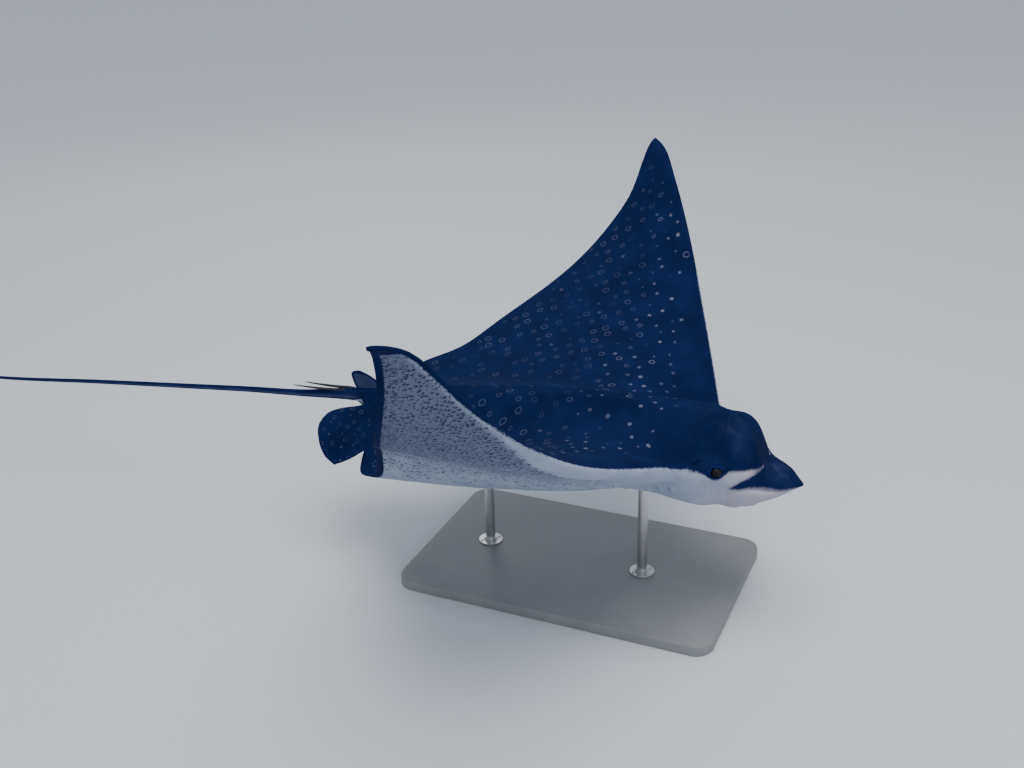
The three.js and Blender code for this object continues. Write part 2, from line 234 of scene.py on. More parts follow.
def surfaceZ(t, s, half, upper):
    rim = clamp((half - s) / np.minimum(rimRound(t), half), 0, 1)
    rounding = np.sqrt(1 - (1 - rim) ** 2)
    wing = 0.5 * wingThickness(s) * aerofoil(chordShare(t, s)) * smooth(40, 200, s)
    onWing = smooth(rootT - 30, rootT + 50, t)
    sheet = (lobePlate(t) + wing) * lerp(rounding, 1, onWing)
    height = topLine(t) - edgeLine(t) if upper else edgeLine(t) - bottomLine(t)
    wall = clamp((wallHalf(t) - s) / wallRound(t), 0, 1)
    shoulder = lerp(1, np.sqrt(1 - (1 - wall) ** 2), onWing) if upper else 1
    hump = swell(s, domeHalf(t), domePower(t)) if upper else swell(s, keelHalf(t), keelPower(t))
    rise = sheet + (height - lobePlate(t)) * hump * np.minimum(rounding, shoulder)
    rise = rise + body["edgeThickness"] / 2
    return edgeLine(t) + (rise if upper else -rise)


def bendTable(slope, steps=180):
    # how far out and up the wing reaches at each step of its slope
    step = halfSpan / steps
    angle = np.radians(slope((np.arange(steps) + 0.5) * step))
    out = np.concatenate([[0], np.cumsum(step * np.cos(angle))])
    up = np.concatenate([[0], np.cumsum(step * np.sin(angle))])
    return np.arange(steps + 1) * step, out, up


bendRight, bendLeft = bendTable(liftRight), bendTable(liftLeft)


def posed(t, y, z):
    # bends the flat body: both wings raised, the leading edge leading the beat
    s = np.abs(y)
    right = y < 0
    out, up = (
        np.where(right, np.interp(s, bendRight[0], bendRight[k]), np.interp(s, bendLeft[0], bendLeft[k]))
        for k in (1, 2)
    )
    angle = np.radians(np.where(right, liftRight(s), liftLeft(s)))
    c = chordShare(t, s)
    hang = bell(s, body["droopS"], np.where(s < body["droopS"], 85, 150)) * c ** body["droopPower"]
    rear = np.where(right, body["droopRight"], body["droopLeft"]) * hang
    front = body["lobeDroop"] * (s / body["lobeHalfWidth"]) ** 2 * (1 - smooth(90, 140, t))
    twist = np.where(right, body["twistRight"], body["twistLeft"])
    lead = twist * (1 - 2 * c) * smooth(250, 650, s) * (1 - smooth(720, 900, s))
    out = out - np.sin(angle) * z
    up = up + np.cos(angle) * z - rear - front + lead
    trailing = np.where(right, body["rakeRight"], body["rakeLeft"]) * spanShare(s) ** 12
    return np.stack([balanceT - t - trailing, np.sign(y) * out, swimHeight + up], axis=-1)


print("shape functions ready")

eyes = {
    "t": 157,
    "out": 89,
    "up": 8,
    "radii": (14.2, 10.6, 11.8),  # along, out, up
    "opening": (10.4, 8),  # half the lids' opening, along and up
    "ballRings": 26,
    "ballSegments": 44,
    "swelling": 0.05,
    "patch": (29, 27, 27),  # reach of the closer mesh round it: ahead, behind, up
    "patchRings": 15,
    # the lid behind its edge: share of the opening and depth of each ring
    "lidTurn": ((0.985, 0.8), (0.98, 2.2), (0.99, 4.5), (0.8, 8), (0.4, 11)),
}

# Height of the line between dark back and pale belly on the side of the head, and of the
# top and the foot of the rostral lobe's dark flank.
darkLine = fair(
    (60, 6), (78, 5), (95, 10), (113, 9), (130, 7), (140, 2), (147, -3), (155, -6), (163, -4), (175, 4),
    (191, 12), (210, 18),
)
lobeTop = fair(
    (60, 30), (74, 6), (85, 2), (93, -1), (102, -5), (114, -12), (128, -24), (133, -32), (150, -60),
)
lobeFoot = fair(
    (0, -38), (5, -36), (28, -33), (45, -29), (57, -26), (71, -23), (89, -20), (108, -23), (128, -25),
    (150, -28),
)

relief = {
    "gillSlits": 5,
    "gillT": 238,
    "gillStep": 26,
    "gillDepth": 5.5,
    "mouthT": 114,
    "mouthHalf": 43,
    "mouthDepth": 6.5,
    "lipRise": 2.6,
    "curtainRise": 3.2,
    "nostril": (93, 44, 9, 5, 5.5),  # t, s, half length, half width, depth
    "ventDepth": 3,
    "flapRise": 2,
    "flapFold": 2.6,
    "jawRise": 0.7,
    "crownDip": 0.8,
    "spiracle": (194, 27, 10, 3.4, 3.4),  # t, up, half length, half height, depth
    "orbitRise": 5.4,
    "lidRise": 1.5,
}


def headRelief(t, s, up, upper):
    # folds and openings of the head and belly: millimetres along the skin's outward normal
    height = np.zeros_like(t)
    below = 1.0 - upper
    count = relief["gillSlits"]
    for i in range(count):
        share = i / (count - 1)
        reach = lerp(20, 14, share)
        across = (s - lerp(112, 78, share)) / reach
        along = t - relief["gillT"] - relief["gillStep"] * i - 5 * across**2 + 3 * across
        hold = np.sqrt(clamp(1 - across**2, 0, 1)) * below
        height += hold * (2.2 * bell(along, -5, 5) - relief["gillDepth"] * bell(along, 1.2, 2.3))
    # mouth, with the nasal curtain hanging over it and a nostril at each of its corners
    mouthCurve = relief["mouthT"] - 5 * (s / relief["mouthHalf"]) ** 2
    inMouth = clamp(1 - (s / relief["mouthHalf"]) ** 4, 0, 1) * below
    height -= relief["mouthDepth"] * bell(t, mouthCurve, 3.4) * inMouth
    height += relief["lipRise"] * bell(t, mouthCurve + 11, 8) * inMouth
    notch = 4 * bell(s, 0, 5)
    inCurtain = smooth(74, 90, t) * (1 - smooth(-1.6, 1.2, t - (mouthCurve - 5 - notch)))
    height += relief["curtainRise"] * inCurtain * (1 - smooth(36, 41, s)) * below
    place, out, long, wide, depth = relief["nostril"]
    hollow = np.hypot((t - place) / long, (s - out - 0.25 * (t - place)) / wide)
    height += (1.2 * bell(hollow, 1.25, 0.3) - depth * (1 - smooth(0.4, 1, hollow))) * below
    # vent between the pelvic fins
    vent = bell(s, 0, 2.6) * smooth(868, 874, t) * (1 - smooth(892, 898, t))
    height -= relief["ventDepth"] * vent * below
    # flank of the rostral lobe: a flap standing off the cheek, with a fold round it
    flank = np.minimum(lobeTop(t) - up, up - lobeFoot(t))
    onFlank = smooth(12, 34, t) * (1 - smooth(132, 140, t))
    onFlank = onFlank * smooth(0.55, 0.8, s / np.maximum(innerHalf(t), 1))
    fold = relief["flapFold"] * bell(flank, -2.6, 2.4)
    height += onFlank * (relief["flapRise"] * smooth(-2.5, 2.5, flank) - fold)
    # crown: a shallow trough between the eyes, a swelling over each jaw muscle
    crown = upper * smooth(96, 130, t) * (1 - smooth(235, 300, t))
    height += crown * (relief["jawRise"] * bell(s, 46, 24) - relief["crownDip"] * bell(s, 0, 30))
    # spiracle behind the eye
    place, high, long, tall, depth = relief["spiracle"]
    hollow = np.hypot((t - place) / long, (up - high - 0.18 * (place - t)) / tall)
    onSide = smooth(58, 76, s) * (1 - smooth(112, 130, s)) * upper
    height += onSide * (1.6 * bell(hollow, 1.15, 0.3) - depth * (1 - smooth(0.25, 1.0, hollow)))
    # orbit and lids
    along, high = (eyes["t"] - t) / (eyes["opening"][0] / eyes["opening"][1]), up - eyes["up"]
    ring = np.hypot(along, high) - eyes["opening"][1]
    onOrbit = smooth(60, 72, s)
    brow = lerp(0.75, 1.25, smooth(-8, 8, high))
    spread = lerp(15, 24, smooth(-5, 40, t - eyes["t"]))
    height += onOrbit * relief["orbitRise"] * bell(ring, 0, spread) * brow
    height += onOrbit * relief["lidRise"] * (bell(ring, 1.2, 2) - 0.9 * bell(ring, 5.2, 2.2) * brow)
    return height


skin = {
    "innerPoints": 26,
    "outerPoints": 44,
    "stretches": [  # from, to and number of rows of the mesh
        (1.5, 30, 12), (30, 126, 42), (126, 212, 44), (212, 360, 50), (360, 500, 18), (500, 528, 12),
        (528, 556, 26), (556, 600, 16), (600, 860, 32), (860, 950, 28), (950, 985, 8),
    ],
    "end": 985,
    "creaseReach": 4,  # how far from a fin's root the skin is smoothed
    "creasePasses": 8,
    "sliver": 0.01,
}


def sectionPlaces(half):
    # closely spaced over the trunk and again at the edge
    inner, outer = skin["innerPoints"], skin["outerPoints"]
    split = 1 / np.hypot(1 / (0.7 * half), 1 / 165)
    near = split[:, None] * np.arange(inner) / inner
    share = np.sin(0.5 * math.pi * np.arange(outer + 1) / outer) ** 0.85
    return np.concatenate([near, lerp(split[:, None], half[:, None], share)], axis=1)


marks = {
    "edgeCreep": (1.6, -4),  # how far the dark back folds under: at the root, at the tip and the rear
    "leadBand": (-1.5, 5),  # dark strip under the leading edge: at the root, near the tip
    "trailBand": 15,
    "darkTip": 846,  # the underside is dark beyond this
    "overFin": 15,
    "speckFrom": (40, 1),  # flecks start this far behind the leading edge: at the root, near the tip
    "spotsFrom": (66, 16),
    "spotsFade": 40,
    "ringsEnd": (845, 885),
    "trunkRings": 0.8,
}


def skinFields(t, y, up, half, upper):
    # what the markings and the painted highlight need at each point: lengths in metres, and shares from 0
    # to 1
    s = np.abs(y)
    c = chordShare(t, s)
    below = 1 - upper
    chord = np.maximum(trailT(s) - leadT(s), 1)
    fromLead, fromTrail = 0.92 * (t - leadT(s)), 0.9 * (trailT(s) - t)
    outside = smooth(94, 130, s)
    margin = lerp(half - s, np.minimum(fromLead, fromTrail), outside)
    lead, trail = lerp(half - s, fromLead, outside), lerp(half - s, fromTrail, outside)
    topEdge = margin - lerp(*marks["edgeCreep"], np.maximum(smooth(470, 620, s), smooth(0.3, 0.5, c)))
    leadBand = lerp(*marks["leadBand"], smooth(480, 780, s))
    bottomEdge = np.maximum(marks["trailBand"] - trail, leadBand - lead)
    bottomEdge = np.maximum(bottomEdge, 0.7 * (s - marks["darkTip"]))
    bottomEdge = lerp(-(half - s) - 1, bottomEdge, outside)
    overFin = marks["overFin"] * smooth(850, 885, t) * (1 - outside)
    wingEdge = np.where(upper > 0.5, topEdge, bottomEdge) + overFin
    headEdge = np.maximum(up - darkLine(t), np.minimum(lobeTop(t) - up, up - lobeFoot(t)))
    headEdge = np.maximum(headEdge, np.where(upper > 0.5, 0.4 * innerHalf(t) - s, -99))
    speckStart = fromLead - lerp(*marks["speckFrom"], smooth(380, 640, s))
    spotStart = fromLead - lerp(*marks["spotsFrom"], smooth(200, 560, s))
    onTrunk = marks["trunkRings"] * smooth(236, 290, t) * (1 - smooth(890, 930, t))
    onTop = upper * lerp(onTrunk, 1, smooth(110, 200, s))
    shortOfTip = 1 - smooth(*marks["ringsEnd"], s)
    # painted highlight: lighter skin along the rostrum's ridge and over the crown, where the light falls
    # on the top of the head
    snout = bell(s, 0, 26) * smooth(6, 22, t) * (1 - smooth(58, 92, t))
    crown = 0.5 * bell(s, 55, 34) * bell(t, 150, 46)
    return {
        "darkEdge": mm * lerp(headEdge, wingEdge, smooth(176, 206, t)),
        "rings": onTop * smooth(-12, marks["spotsFade"], spotStart) * smooth(6, 26, trail) * shortOfTip,
        "dots": upper * (1 - smooth(0.16, 0.5, c)),
        "speckles": below * smooth(150, 430, s) * smooth(-2, 12, speckStart),
        "dusk": below * np.maximum(smooth(200, 600, s) * smooth(-4, 14, speckStart), smooth(780, 846, s)),
        "streaks": below * smooth(190, 420, s) * (1 - smooth(18, 62, trail)),
        "paintedHighlight": upper * (snout + crown),
        "blush": (1 - smooth(120, 230, t)) * smooth(0, 25, t),
        "alongEdge": mm * s,
        "fromEdge": mm * np.minimum(trail, chord),
    }


def spineRelief(t, s, upper):
    # low ridge of the spine and the faint radial ridges of the wing's fin rays
    c = chordShare(t, s)
    ridge = body["spineRidge"] * bell(s, 0, 9) * smooth(260, 420, t) * (1 - smooth(860, 960, t)) * upper
    wave = np.sin(2 * math.pi * s / body["finRayPitch"] + 1.4 * np.sin(t / 70))
    rays = body["finRayHeight"] * wave * smooth(200, 420, s)
    return ridge + rays * smooth(0.25, 0.6, c) * (1 - smooth(0.9, 1, c)) * (1 - smooth(760, 850, s))


def bodyGrid():
    # one grid of points over the whole body: rows go back from the snout, columns go round
    t = [np.linspace(a, b, n, endpoint=False) for a, b, n in skin["stretches"]]
    t = np.concatenate(t + [[skin["end"]]])
    half = np.maximum(innerHalf(t), wingHalf(t))
    places = sectionPlaces(half)
    across = np.concatenate([-places[:, :0:-1], places], axis=1)
    t2 = np.broadcast_to(t[:, None], across.shape)
    half2 = np.broadcast_to(half[:, None], across.shape)
    s = np.abs(across)
    top = posed(t2, across, surfaceZ(t2, s, half2, True))
    bottom = posed(t2, across, surfaceZ(t2, s, half2, False))
    points = np.concatenate([top, bottom[:, ::-1]], axis=1)
    around = lambda a, b: np.concatenate([a, b[:, ::-1]], axis=1)
    tAll, yAll, halfAll = around(t2, t2), around(across, across), around(half2, half2)
    upper = around(np.ones_like(across), np.zeros_like(across))
    back = np.gradient(points, axis=0)
    side = np.roll(points, -1, axis=1) - np.roll(points, 1, axis=1)
    normal = np.cross(side, back)
    normal /= np.maximum(np.linalg.norm(normal, axis=-1, keepdims=True), 1e-9)
    layers = {"t": tAll, "y": yAll, "half": halfAll, "upper": upper}
    return points, normal, layers


def shaped(points, normal, layers):
    # relief pushed out along the normal, and the fields for the markings
    t, y, upper = layers["t"], layers["y"], layers["upper"]
    s, up = np.abs(y), points[..., 2] - swimHeight
    height = headRelief(t, s, up, upper) + spineRelief(t, s, upper)
    fields = skinFields(t, y, up, layers["half"], upper)
    return points + normal * height[..., None], fields


class ShellBuilder:
    # gathers points with their fields, and faces, into one closed mesh
    def __init__(self):
        self.points, self.faces, self.fields, self.count = [], [], {}, 0

    def add(self, points, fields):
        points = np.asarray(points).reshape(-1, 3)
        first = self.count
        self.points.append(points)
        for name in fieldNames:
            value = np.asarray(fields.get(name, 0.0), float).reshape(-1)
            self.fields.setdefault(name, []).append(np.broadcast_to(value, (len(points),)))
        self.count += len(points)
        return first

    def quads(self, first, rows, columns, skip=None, closed=True):
        last = columns if closed else columns - 1
        for i in range(rows - 1):
            for j in range(last):
                if skip is not None and skip[i, j]:
                    continue
                a, b = first + i * columns + j, first + i * columns + (j + 1) % columns
                self.faces.append((a, b, b + columns, a + columns))

    def band(self, outer, inner):
        n = len(outer)
        for k in range(n):
            self.faces.append((outer[k], outer[(k + 1) % n], inner[(k + 1) % n], inner[k]))

    def close(self, centre, fields, loop, flip=False):
        # a fan of triangles from one point to a loop
        middle = self.add(centre, {key: value.reshape(-1)[:1] for key, value in fields.items()})
        for a, b in zip(loop, loop[1:] + loop[:1]):
            self.faces.append((middle, b, a) if flip else (middle, a, b))

    def lace(self, upperLoop, lowerLoop):
        # joins two closed loops of different counts with triangles
        n, m, i, j = len(upperLoop), len(lowerLoop), 0, 0
        while i < n or j < m:
            a, b = upperLoop[i % n], lowerLoop[j % m]
            if j >= m or (i < n and (i + 1) / n <= (j + 1) / m):
                self.faces.append((a, upperLoop[(i + 1) % n], b))
                i += 1
            else:
                self.faces.append((a, lowerLoop[(j + 1) % m], b))
                j += 1

    def build(self, name):
        mesh = bpy.data.meshes.new(name)
        mesh.from_pydata((np.concatenate(self.points) * mm).tolist(), [], self.faces)
        mesh.polygons.foreach_set("use_smooth", np.ones(len(mesh.polygons), bool))
        corner = np.empty(len(mesh.loops), int)
        mesh.loops.foreach_get("vertex_index", corner)
        joined = {key: np.concatenate(value) for key, value in self.fields.items()}
        for name, (across, up) in uvFields.items():
            layer = mesh.uv_layers.new(name=name)
            layer.data.foreach_set("uv", np.stack([joined[across], joined[up]], 1)[corner].ravel())
        for key in maskFields:
            layer = mesh.attributes.new(key, "FLOAT", "CORNER")
            layer.data.foreach_set("value", joined[key][corner])
        return mesh


uvFields = {"flat": ("flatT", "flatY"), "edgeWise": ("alongEdge", "fromEdge")}
maskFields = ["darkEdge", "rings", "dots", "speckles", "dusk", "streaks", "stripe", "paintedHighlight", "blush"]
fieldNames = ["flatT", "flatY", "alongEdge", "fromEdge"] + maskFields


def sampled(grid, rows, columns):
    # a grid value between its points, by row and column
    i = np.floor(rows).astype(int)
    j = np.floor(columns).astype(int)
    ki, kj = rows - i, columns - j
    if grid.ndim == 3:
        ki, kj = ki[:, None], kj[:, None]
    count = grid.shape[1]
    a, b = grid[i, j % count], grid[i, (j + 1) % count]
    c, d = grid[i + 1, j % count], grid[i + 1, (j + 1) % count]
    return lerp(lerp(a, b, kj), lerp(c, d, kj), ki)


def eyePatch(builder, first, points, normal, layers, side):
    # replaces a square of the grid round one eye by rings that close in on the lids
    rows, columns = points.shape[:2]
    middle = (columns if side < 0 else columns // 2) - 0.5
    centre = np.array([balanceT - eyes["t"], swimHeight + eyes["up"]])
    stations = layers["t"][:, 0]
    ahead, behind, above = eyes["patch"]
    openLong, openTall = eyes["opening"]
    low = int(np.searchsorted(stations, eyes["t"] - ahead))
    high = int(np.searchsorted(stations, eyes["t"] + behind))
    wall = points[(low + high) // 2]
    nearby = range(int(middle - 60), int(middle + 60))
    spread = [j for j in nearby if abs(wall[j % columns, 2] - centre[1]) < above]
    left, right = spread[0], spread[-1]
    square = (
        [(low, j) for j in range(left, right)]
        + [(i, right) for i in range(low, high)]
        + [(high, j) for j in range(right, left, -1)]
        + [(i, left) for i in range(high, low, -1)]
    )
    skip = np.zeros((rows, columns), bool)
    for i in range(low, high):
        for j in range(left, right):
            skip[i, j % columns] = True
    loop = [first + i * columns + j % columns for i, j in square]
    corners = np.array([points[i, j % columns][[0, 2]] for i, j in square])
    place = np.array([[float(i), float(j)] for i, j in square])
    angle = np.arctan2((corners[:, 1] - centre[1]) / openTall, (corners[:, 0] - centre[0]) / openLong)
    opening = centre + np.stack([openLong * np.cos(angle), openTall * np.sin(angle)], 1)

    def sideView(row, column):
        return sampled(points, row, column)[:, [0, 2]]

    def whereOnGrid(target, guess):
        # walks in row and column until the grid's side view meets the target
        spot = guess.copy()
        for _ in range(14):
            row, column = spot[:, 0], spot[:, 1]
            dRow = sideView(row + 0.5, column) - sideView(row - 0.5, column)
            dColumn = sideView(row, column + 0.5) - sideView(row, column - 0.5)
            miss = target - sideView(row, column)
            det = dRow[:, 0] * dColumn[:, 1] - dRow[:, 1] * dColumn[:, 0]
            det = np.where(np.abs(det) < 1e-6, 1e-6, det)
            moveRow = (miss[:, 0] * dColumn[:, 1] - miss[:, 1] * dColumn[:, 0]) / det
            moveColumn = (dRow[:, 0] * miss[:, 1] - dRow[:, 1] * miss[:, 0]) / det
            spot[:, 0] = clamp(row + clamp(moveRow, -3, 3), low - 1, high + 1)
            spot[:, 1] = clamp(column + clamp(moveColumn, -3, 3), left - 2, right + 2)
        return spot

    guess = place
    for k in range(1, eyes["patchRings"] + 1):
        share = (k / eyes["patchRings"]) ** 0.8
        guess = whereOnGrid(lerp(corners, opening, share), guess)
        base = sampled(points, guess[:, 0], guess[:, 1])
        facing = sampled(normal, guess[:, 0], guess[:, 1])
        facing /= np.linalg.norm(facing, axis=1, keepdims=True)
        local = {key: sampled(value, guess[:, 0], guess[:, 1]) for key, value in layers.items()}
        moved, fields = shaped(base, facing, local)
        fields["flatT"], fields["flatY"] = mm * local["t"], mm * local["y"]
        loop = inwards(builder, loop, moved, fields)
    # the lid turns in behind the eyeball and closes there
    for scale, drop in eyes["lidTurn"]:
        inner = moved.copy()
        inner[:, 0] = centre[0] + (moved[:, 0] - centre[0]) * scale
        inner[:, 2] = centre[1] + (moved[:, 2] - centre[1]) * scale
        inner[:, 1] -= side * drop
        loop = inwards(builder, loop, inner, fields)
    builder.close(inner.mean(axis=0, keepdims=True), fields, loop)
    return skip


def inwards(builder, loop, points, fields):
    # one more ring inside a loop
    start = builder.add(points, fields)
    ring = [start + n for n in range(len(loop))]
    builder.band(loop, ring)
    return ring


tail = {
    "cuts": (985, 1130, 3096),
    "baseRings": 34,
    "whipRings": 130,
    "baseSides": 48,
    "whipSides": 20,
    "ridge": 0.14,  # share by which the tail's top and bottom keels stand out
}
tailUp = fair(
    (985, 1), (1047, -7), (1161, -24), (1311, -39), (1476, -58), (1782, -94), (2116, -135),
    (2600, -172), (3100, -180),
)
tailSide = fair((985, 0), (2116, 0), (3100, 70))
tailRadius = fair(
    (985, 20), (1010, 15.5), (1060, 12.5), (1130, 9.2), (1200, 7.6), (1300, 6.9), (1750, 5.4),
    (2420, 3.1), (3090, 1.4), (3100, 0.8),
)
tailBreadth = fair((985, 1.2), (1130, 1.12), (1500, 1))


def tailRing(t, sides):
    angle = math.pi - 2 * math.pi * np.arange(sides) / sides
    radius = tailRadius(t)
    keel = 1 - tail["ridge"] * (1 - np.abs(np.sin(angle))) * smooth(1000, 1100, t)
    y = tailSide(t) + radius * keel * tailBreadth(t) * np.cos(angle)
    up = tailUp(t) + radius * np.sin(angle)
    shown = 0.8 * smooth(985, 1020, t) * (1 - smooth(1500, 2300, t))
    points = np.stack([np.full(sides, balanceT - t), y, swimHeight + up], 1)
    fields = {
        "flatT": np.full(sides, mm * t),
        "flatY": mm * radius * np.sin(angle) + 0.3,
        "darkEdge": mm * (radius * np.sin(angle) + lerp(4, 60, smooth(990, 1120, t))),
        "stripe": bell(np.sin(angle), -0.1, 0.3) * shown,
    }
    return points, fields


def addTail(builder, lastLoop):
    start, change, end = tail["cuts"]
    base = np.linspace(start, change, tail["baseRings"])[1:]
    whip = change + (end - change) * (np.arange(1, tail["whipRings"] + 1) / tail["whipRings"])
    loop = lastLoop
    for places, sides in ((base, tail["baseSides"]), (whip, tail["whipSides"])):
        for t in places:
            points, fields = tailRing(t, sides)
            first = builder.add(points, fields)
            ring = [first + n for n in range(sides)]
            if len(loop) == sides:
                builder.band(loop, ring)
            else:
                builder.lace(loop, ring)
            loop = ring
    builder.close(points.mean(axis=0, keepdims=True) - [[0.6, 0, 0]], fields, loop, flip=True)


def bodyMesh():
    points, normal, layers = bodyGrid()
    moved, fields = shaped(points, normal, layers)
    fields["flatT"], fields["flatY"] = mm * layers["t"], mm * layers["y"]
    builder = ShellBuilder()
    rows, columns = points.shape[:2]
    first = builder.add(moved, fields)
    skip = eyePatch(builder, first, points, normal, layers, -1)
    skip |= eyePatch(builder, first, points, normal, layers, 1)
    builder.quads(first, rows, columns, skip)
    noseRing = [first + j for j in range(columns)]
    nose = moved[0].mean(axis=0, keepdims=True) + [[0.8, 0, 0]]
    builder.close(nose, fields, noseRing, flip=True)
    addTail(builder, [first + (rows - 1) * columns + j for j in range(columns)])
    return builder.build("skin")


pelvic = {"width": 158, "slope": 50, "rootOut": 22, "rootUp": -2, "thick": 12, "bow": 9, "ripple": 0.5}
pelvicFront = fair((0, 866), (0.5, 908), (0.81, 961), (0.92, 986), (1, 1012))
pelvicRear = fair(
    (0, 962), (0.1, 988), (0.18, 1029), (0.3, 1061), (0.5, 1073), (0.72, 1062), (0.9, 1041), (1, 1014),
)
dorsal = {"rootUp": 4, "height": 52, "thick": 9}
fin = {"loops": 44, "points": 40, "tipThick": 2.4, "darkRim": 7, "mapScale": 1.5}
dorsalFront = fair((0, 922), (0.6, 956), (0.9, 984), (1, 1002))
dorsalRear = fair((0, 1010), (0.3, 1018), (0.8, 1025), (0.94, 1020), (1, 1008))


def finMesh(name, frontT, rearT, width, pointAt, flip, paleInside=True):
    # a thin fin: loops round it from root to tip, dark outside, with a dark rim
    builder = ShellBuilder()
    points, scale = fin["points"], fin["mapScale"] * mm
    chord = 0.5 - 0.5 * np.cos(math.pi * np.arange(points + 1) / points)
    loops = []
    for share in 1 - (1 - np.linspace(0, 1, fin["loops"])) ** 1.6:
        c = np.concatenate([chord, chord[::-1]])
        face = np.concatenate([np.ones(points + 1), -np.ones(points + 1)])
        length = rearT(share) - frontT(share)
        rim = np.minimum(np.minimum(c, 1 - c) * length, (1 - share) * width)
        outside = face > 0
        fields = {
            "flatT": scale * lerp(frontT(share), rearT(share), c),
            "flatY": np.full(len(c), scale * share * width + (0.5 if flip else 0.8)),
            "darkEdge": mm * np.where(outside | (not paleInside), 30, fin["darkRim"] - rim),
            "rings": np.where(outside & paleInside, smooth(2, 7, rim), 0),
            "speckles": np.where(outside, 0, 0.5),
            "dusk": np.where(outside, 0, 0.9),
            "stripe": np.where(paleInside, 0, 0.8 * smooth(3, 11, rim)),
        }
        loops.append((pointAt(share, c, face), fields))
    count = 2 * (points + 1)
    joined = {key: np.concatenate([fields[key] for _, fields in loops]) for key in loops[0][1]}
    first = builder.add(np.concatenate([place for place, _ in loops]), joined)
    builder.quads(first, len(loops), count)
    for row, turned in ((0, True), (len(loops) - 1, False)):
        ring = [first + row * count + j for j in range(count)]
        place, fields = loops[row]
        builder.close(place.mean(axis=0, keepdims=True), fields, ring, flip=turned)
    mesh = builder.build(name)
    if flip:
        mesh.flip_normals()
    return mesh


def finHalf(c, thick):
    return 0.5 * thick * aerofoil(c) + body["edgeThickness"] / 2


def pelvicPoint(side):
    slope = math.radians(pelvic["slope"])

    def pointAt(share, c, face):
        thick = lerp(pelvic["thick"], fin["tipThick"], share**0.7)
        along = pelvic["width"] * share
        ripple = pelvic["ripple"] * np.sin(c * 38) * smooth(0.35, 0.9, share)
        off = face * finHalf(c, thick) + pelvic["bow"] * math.sin(math.pi * share) + ripple
        out = pelvic["rootOut"] + along * math.cos(slope) + off * math.sin(slope)
        up = pelvic["rootUp"] - along * math.sin(slope) + off * math.cos(slope)
        t = lerp(pelvicFront(share), pelvicRear(share), c)
        return np.stack([balanceT - t, side * out, swimHeight + up], 1)

    return pointAt


def dorsalPoint(share, c, face):
    off = face * finHalf(c, lerp(dorsal["thick"], fin["tipThick"], share))
    t = lerp(dorsalFront(share), dorsalRear(share), c)
    up = np.full(len(c), swimHeight + dorsal["rootUp"] + dorsal["height"] * share)
    return np.stack([balanceT - t, off, up], 1)


def newPiece(name, mesh):
    piece = bpy.data.objects.new(name, mesh)
    bpy.context.scene.collection.objects.link(piece)
    return piece


def outward(mesh):
    # faces of a closed mesh point outwards
    work = bmesh.new()
    work.from_mesh(mesh)
    bmesh.ops.recalc_face_normals(work, faces=work.faces)
    volume = work.calc_volume(signed=True)
    if volume < 0:
        bmesh.ops.reverse_faces(work, faces=work.faces)
    work.to_mesh(mesh)
    work.free()
    return abs(volume)


def evaluated(piece):
    # the piece's mesh as its modifiers leave it
    return bpy.data.meshes.new_from_object(piece.evaluated_get(bpy.context.evaluated_depsgraph_get()))


def addFin(whole, mesh, markers):
    # unites a fin with the body, its faces marked by their material
    outward(mesh)
    for marker in markers:
        mesh.materials.append(marker)
    mesh.polygons.foreach_set("material_index", np.ones(len(mesh.polygons), np.int32))
    piece = newPiece(mesh.name, mesh)
    union = whole.modifiers.new("union", "BOOLEAN")
    union.operation, union.object, union.solver = "UNION", piece, "EXACT"
    joined = evaluated(whole)
    whole.modifiers.clear()
    bpy.data.objects.remove(piece)
    whole.data = joined


def withoutSlivers(mesh):
    # the mesh ready to edit, rid of its slivers unless that would open it
    work = bmesh.new()
    work.from_mesh(mesh)
    bmesh.ops.dissolve_degenerate(work, dist=skin["sliver"] * mm, edges=work.edges)
    if any(not edge.is_manifold for edge in work.edges):
        work.clear()
        work.from_mesh(mesh)
    return work


def softenCrease(work):
    # smooths the skin near each fin's root, and clears the rings there
    crease = [v for v in work.verts if len({f.material_index for f in v.link_faces}) > 1]
    nearCrease = KDTree(len(crease))
    for index, vert in enumerate(crease):
        nearCrease.insert(vert.co, index)
    nearCrease.balance()
    reached = [v for v in work.verts if nearCrease.find(v.co)[2] < skin["creaseReach"] * mm]
    axes = {"use_axis_x": True, "use_axis_y": True, "use_axis_z": True}
    for _ in range(skin["creasePasses"]):
        bmesh.ops.smooth_vert(work, verts=reached, factor=0.5, **axes)
    ringLayer = work.loops.layers.float["rings"]
    for vert in reached:
        for loop in vert.link_loops:
            loop[ringLayer] = 0


def makeSkin():
    whole = newPiece("skin", bodyMesh())
    print("body litres", round(outward(whole.data) * 1000, 1))
    markers = [bpy.data.materials.new("bodySide"), bpy.data.materials.new("finSide")]
    for marker in markers:
        whole.data.materials.append(marker)
    pelvicShape = pelvicFront, pelvicRear, pelvic["width"]
    for mesh in (
        finMesh("pelvicRight", *pelvicShape, pelvicPoint(-1), False),
        finMesh("pelvicLeft", *pelvicShape, pelvicPoint(1), True),
        finMesh("dorsal", dorsalFront, dorsalRear, dorsal["height"], dorsalPoint, False, False),
    ):
        addFin(whole, mesh, markers)
    work = withoutSlivers(whole.data)
    softenCrease(work)
    for face in work.faces:
        face.material_index = 0
        face.smooth = True
    work.to_mesh(whole.data)
    work.free()
    whole.data.materials.clear()
    whole.data.name = "skin"
    for marker in markers:
        bpy.data.materials.remove(marker)
    return whole


skinPiece = makeSkin()
print("skin made:", len(skinPiece.data.polygons), "faces")


def fill(tree, node, sockets):
    # links or sets a node's inputs
    for key, value in sockets.items():
        if isinstance(value, bpy.types.NodeSocket):
            tree.links.new(value, node.inputs[key])
        else:
            node.inputs[key].default_value = value
    return node


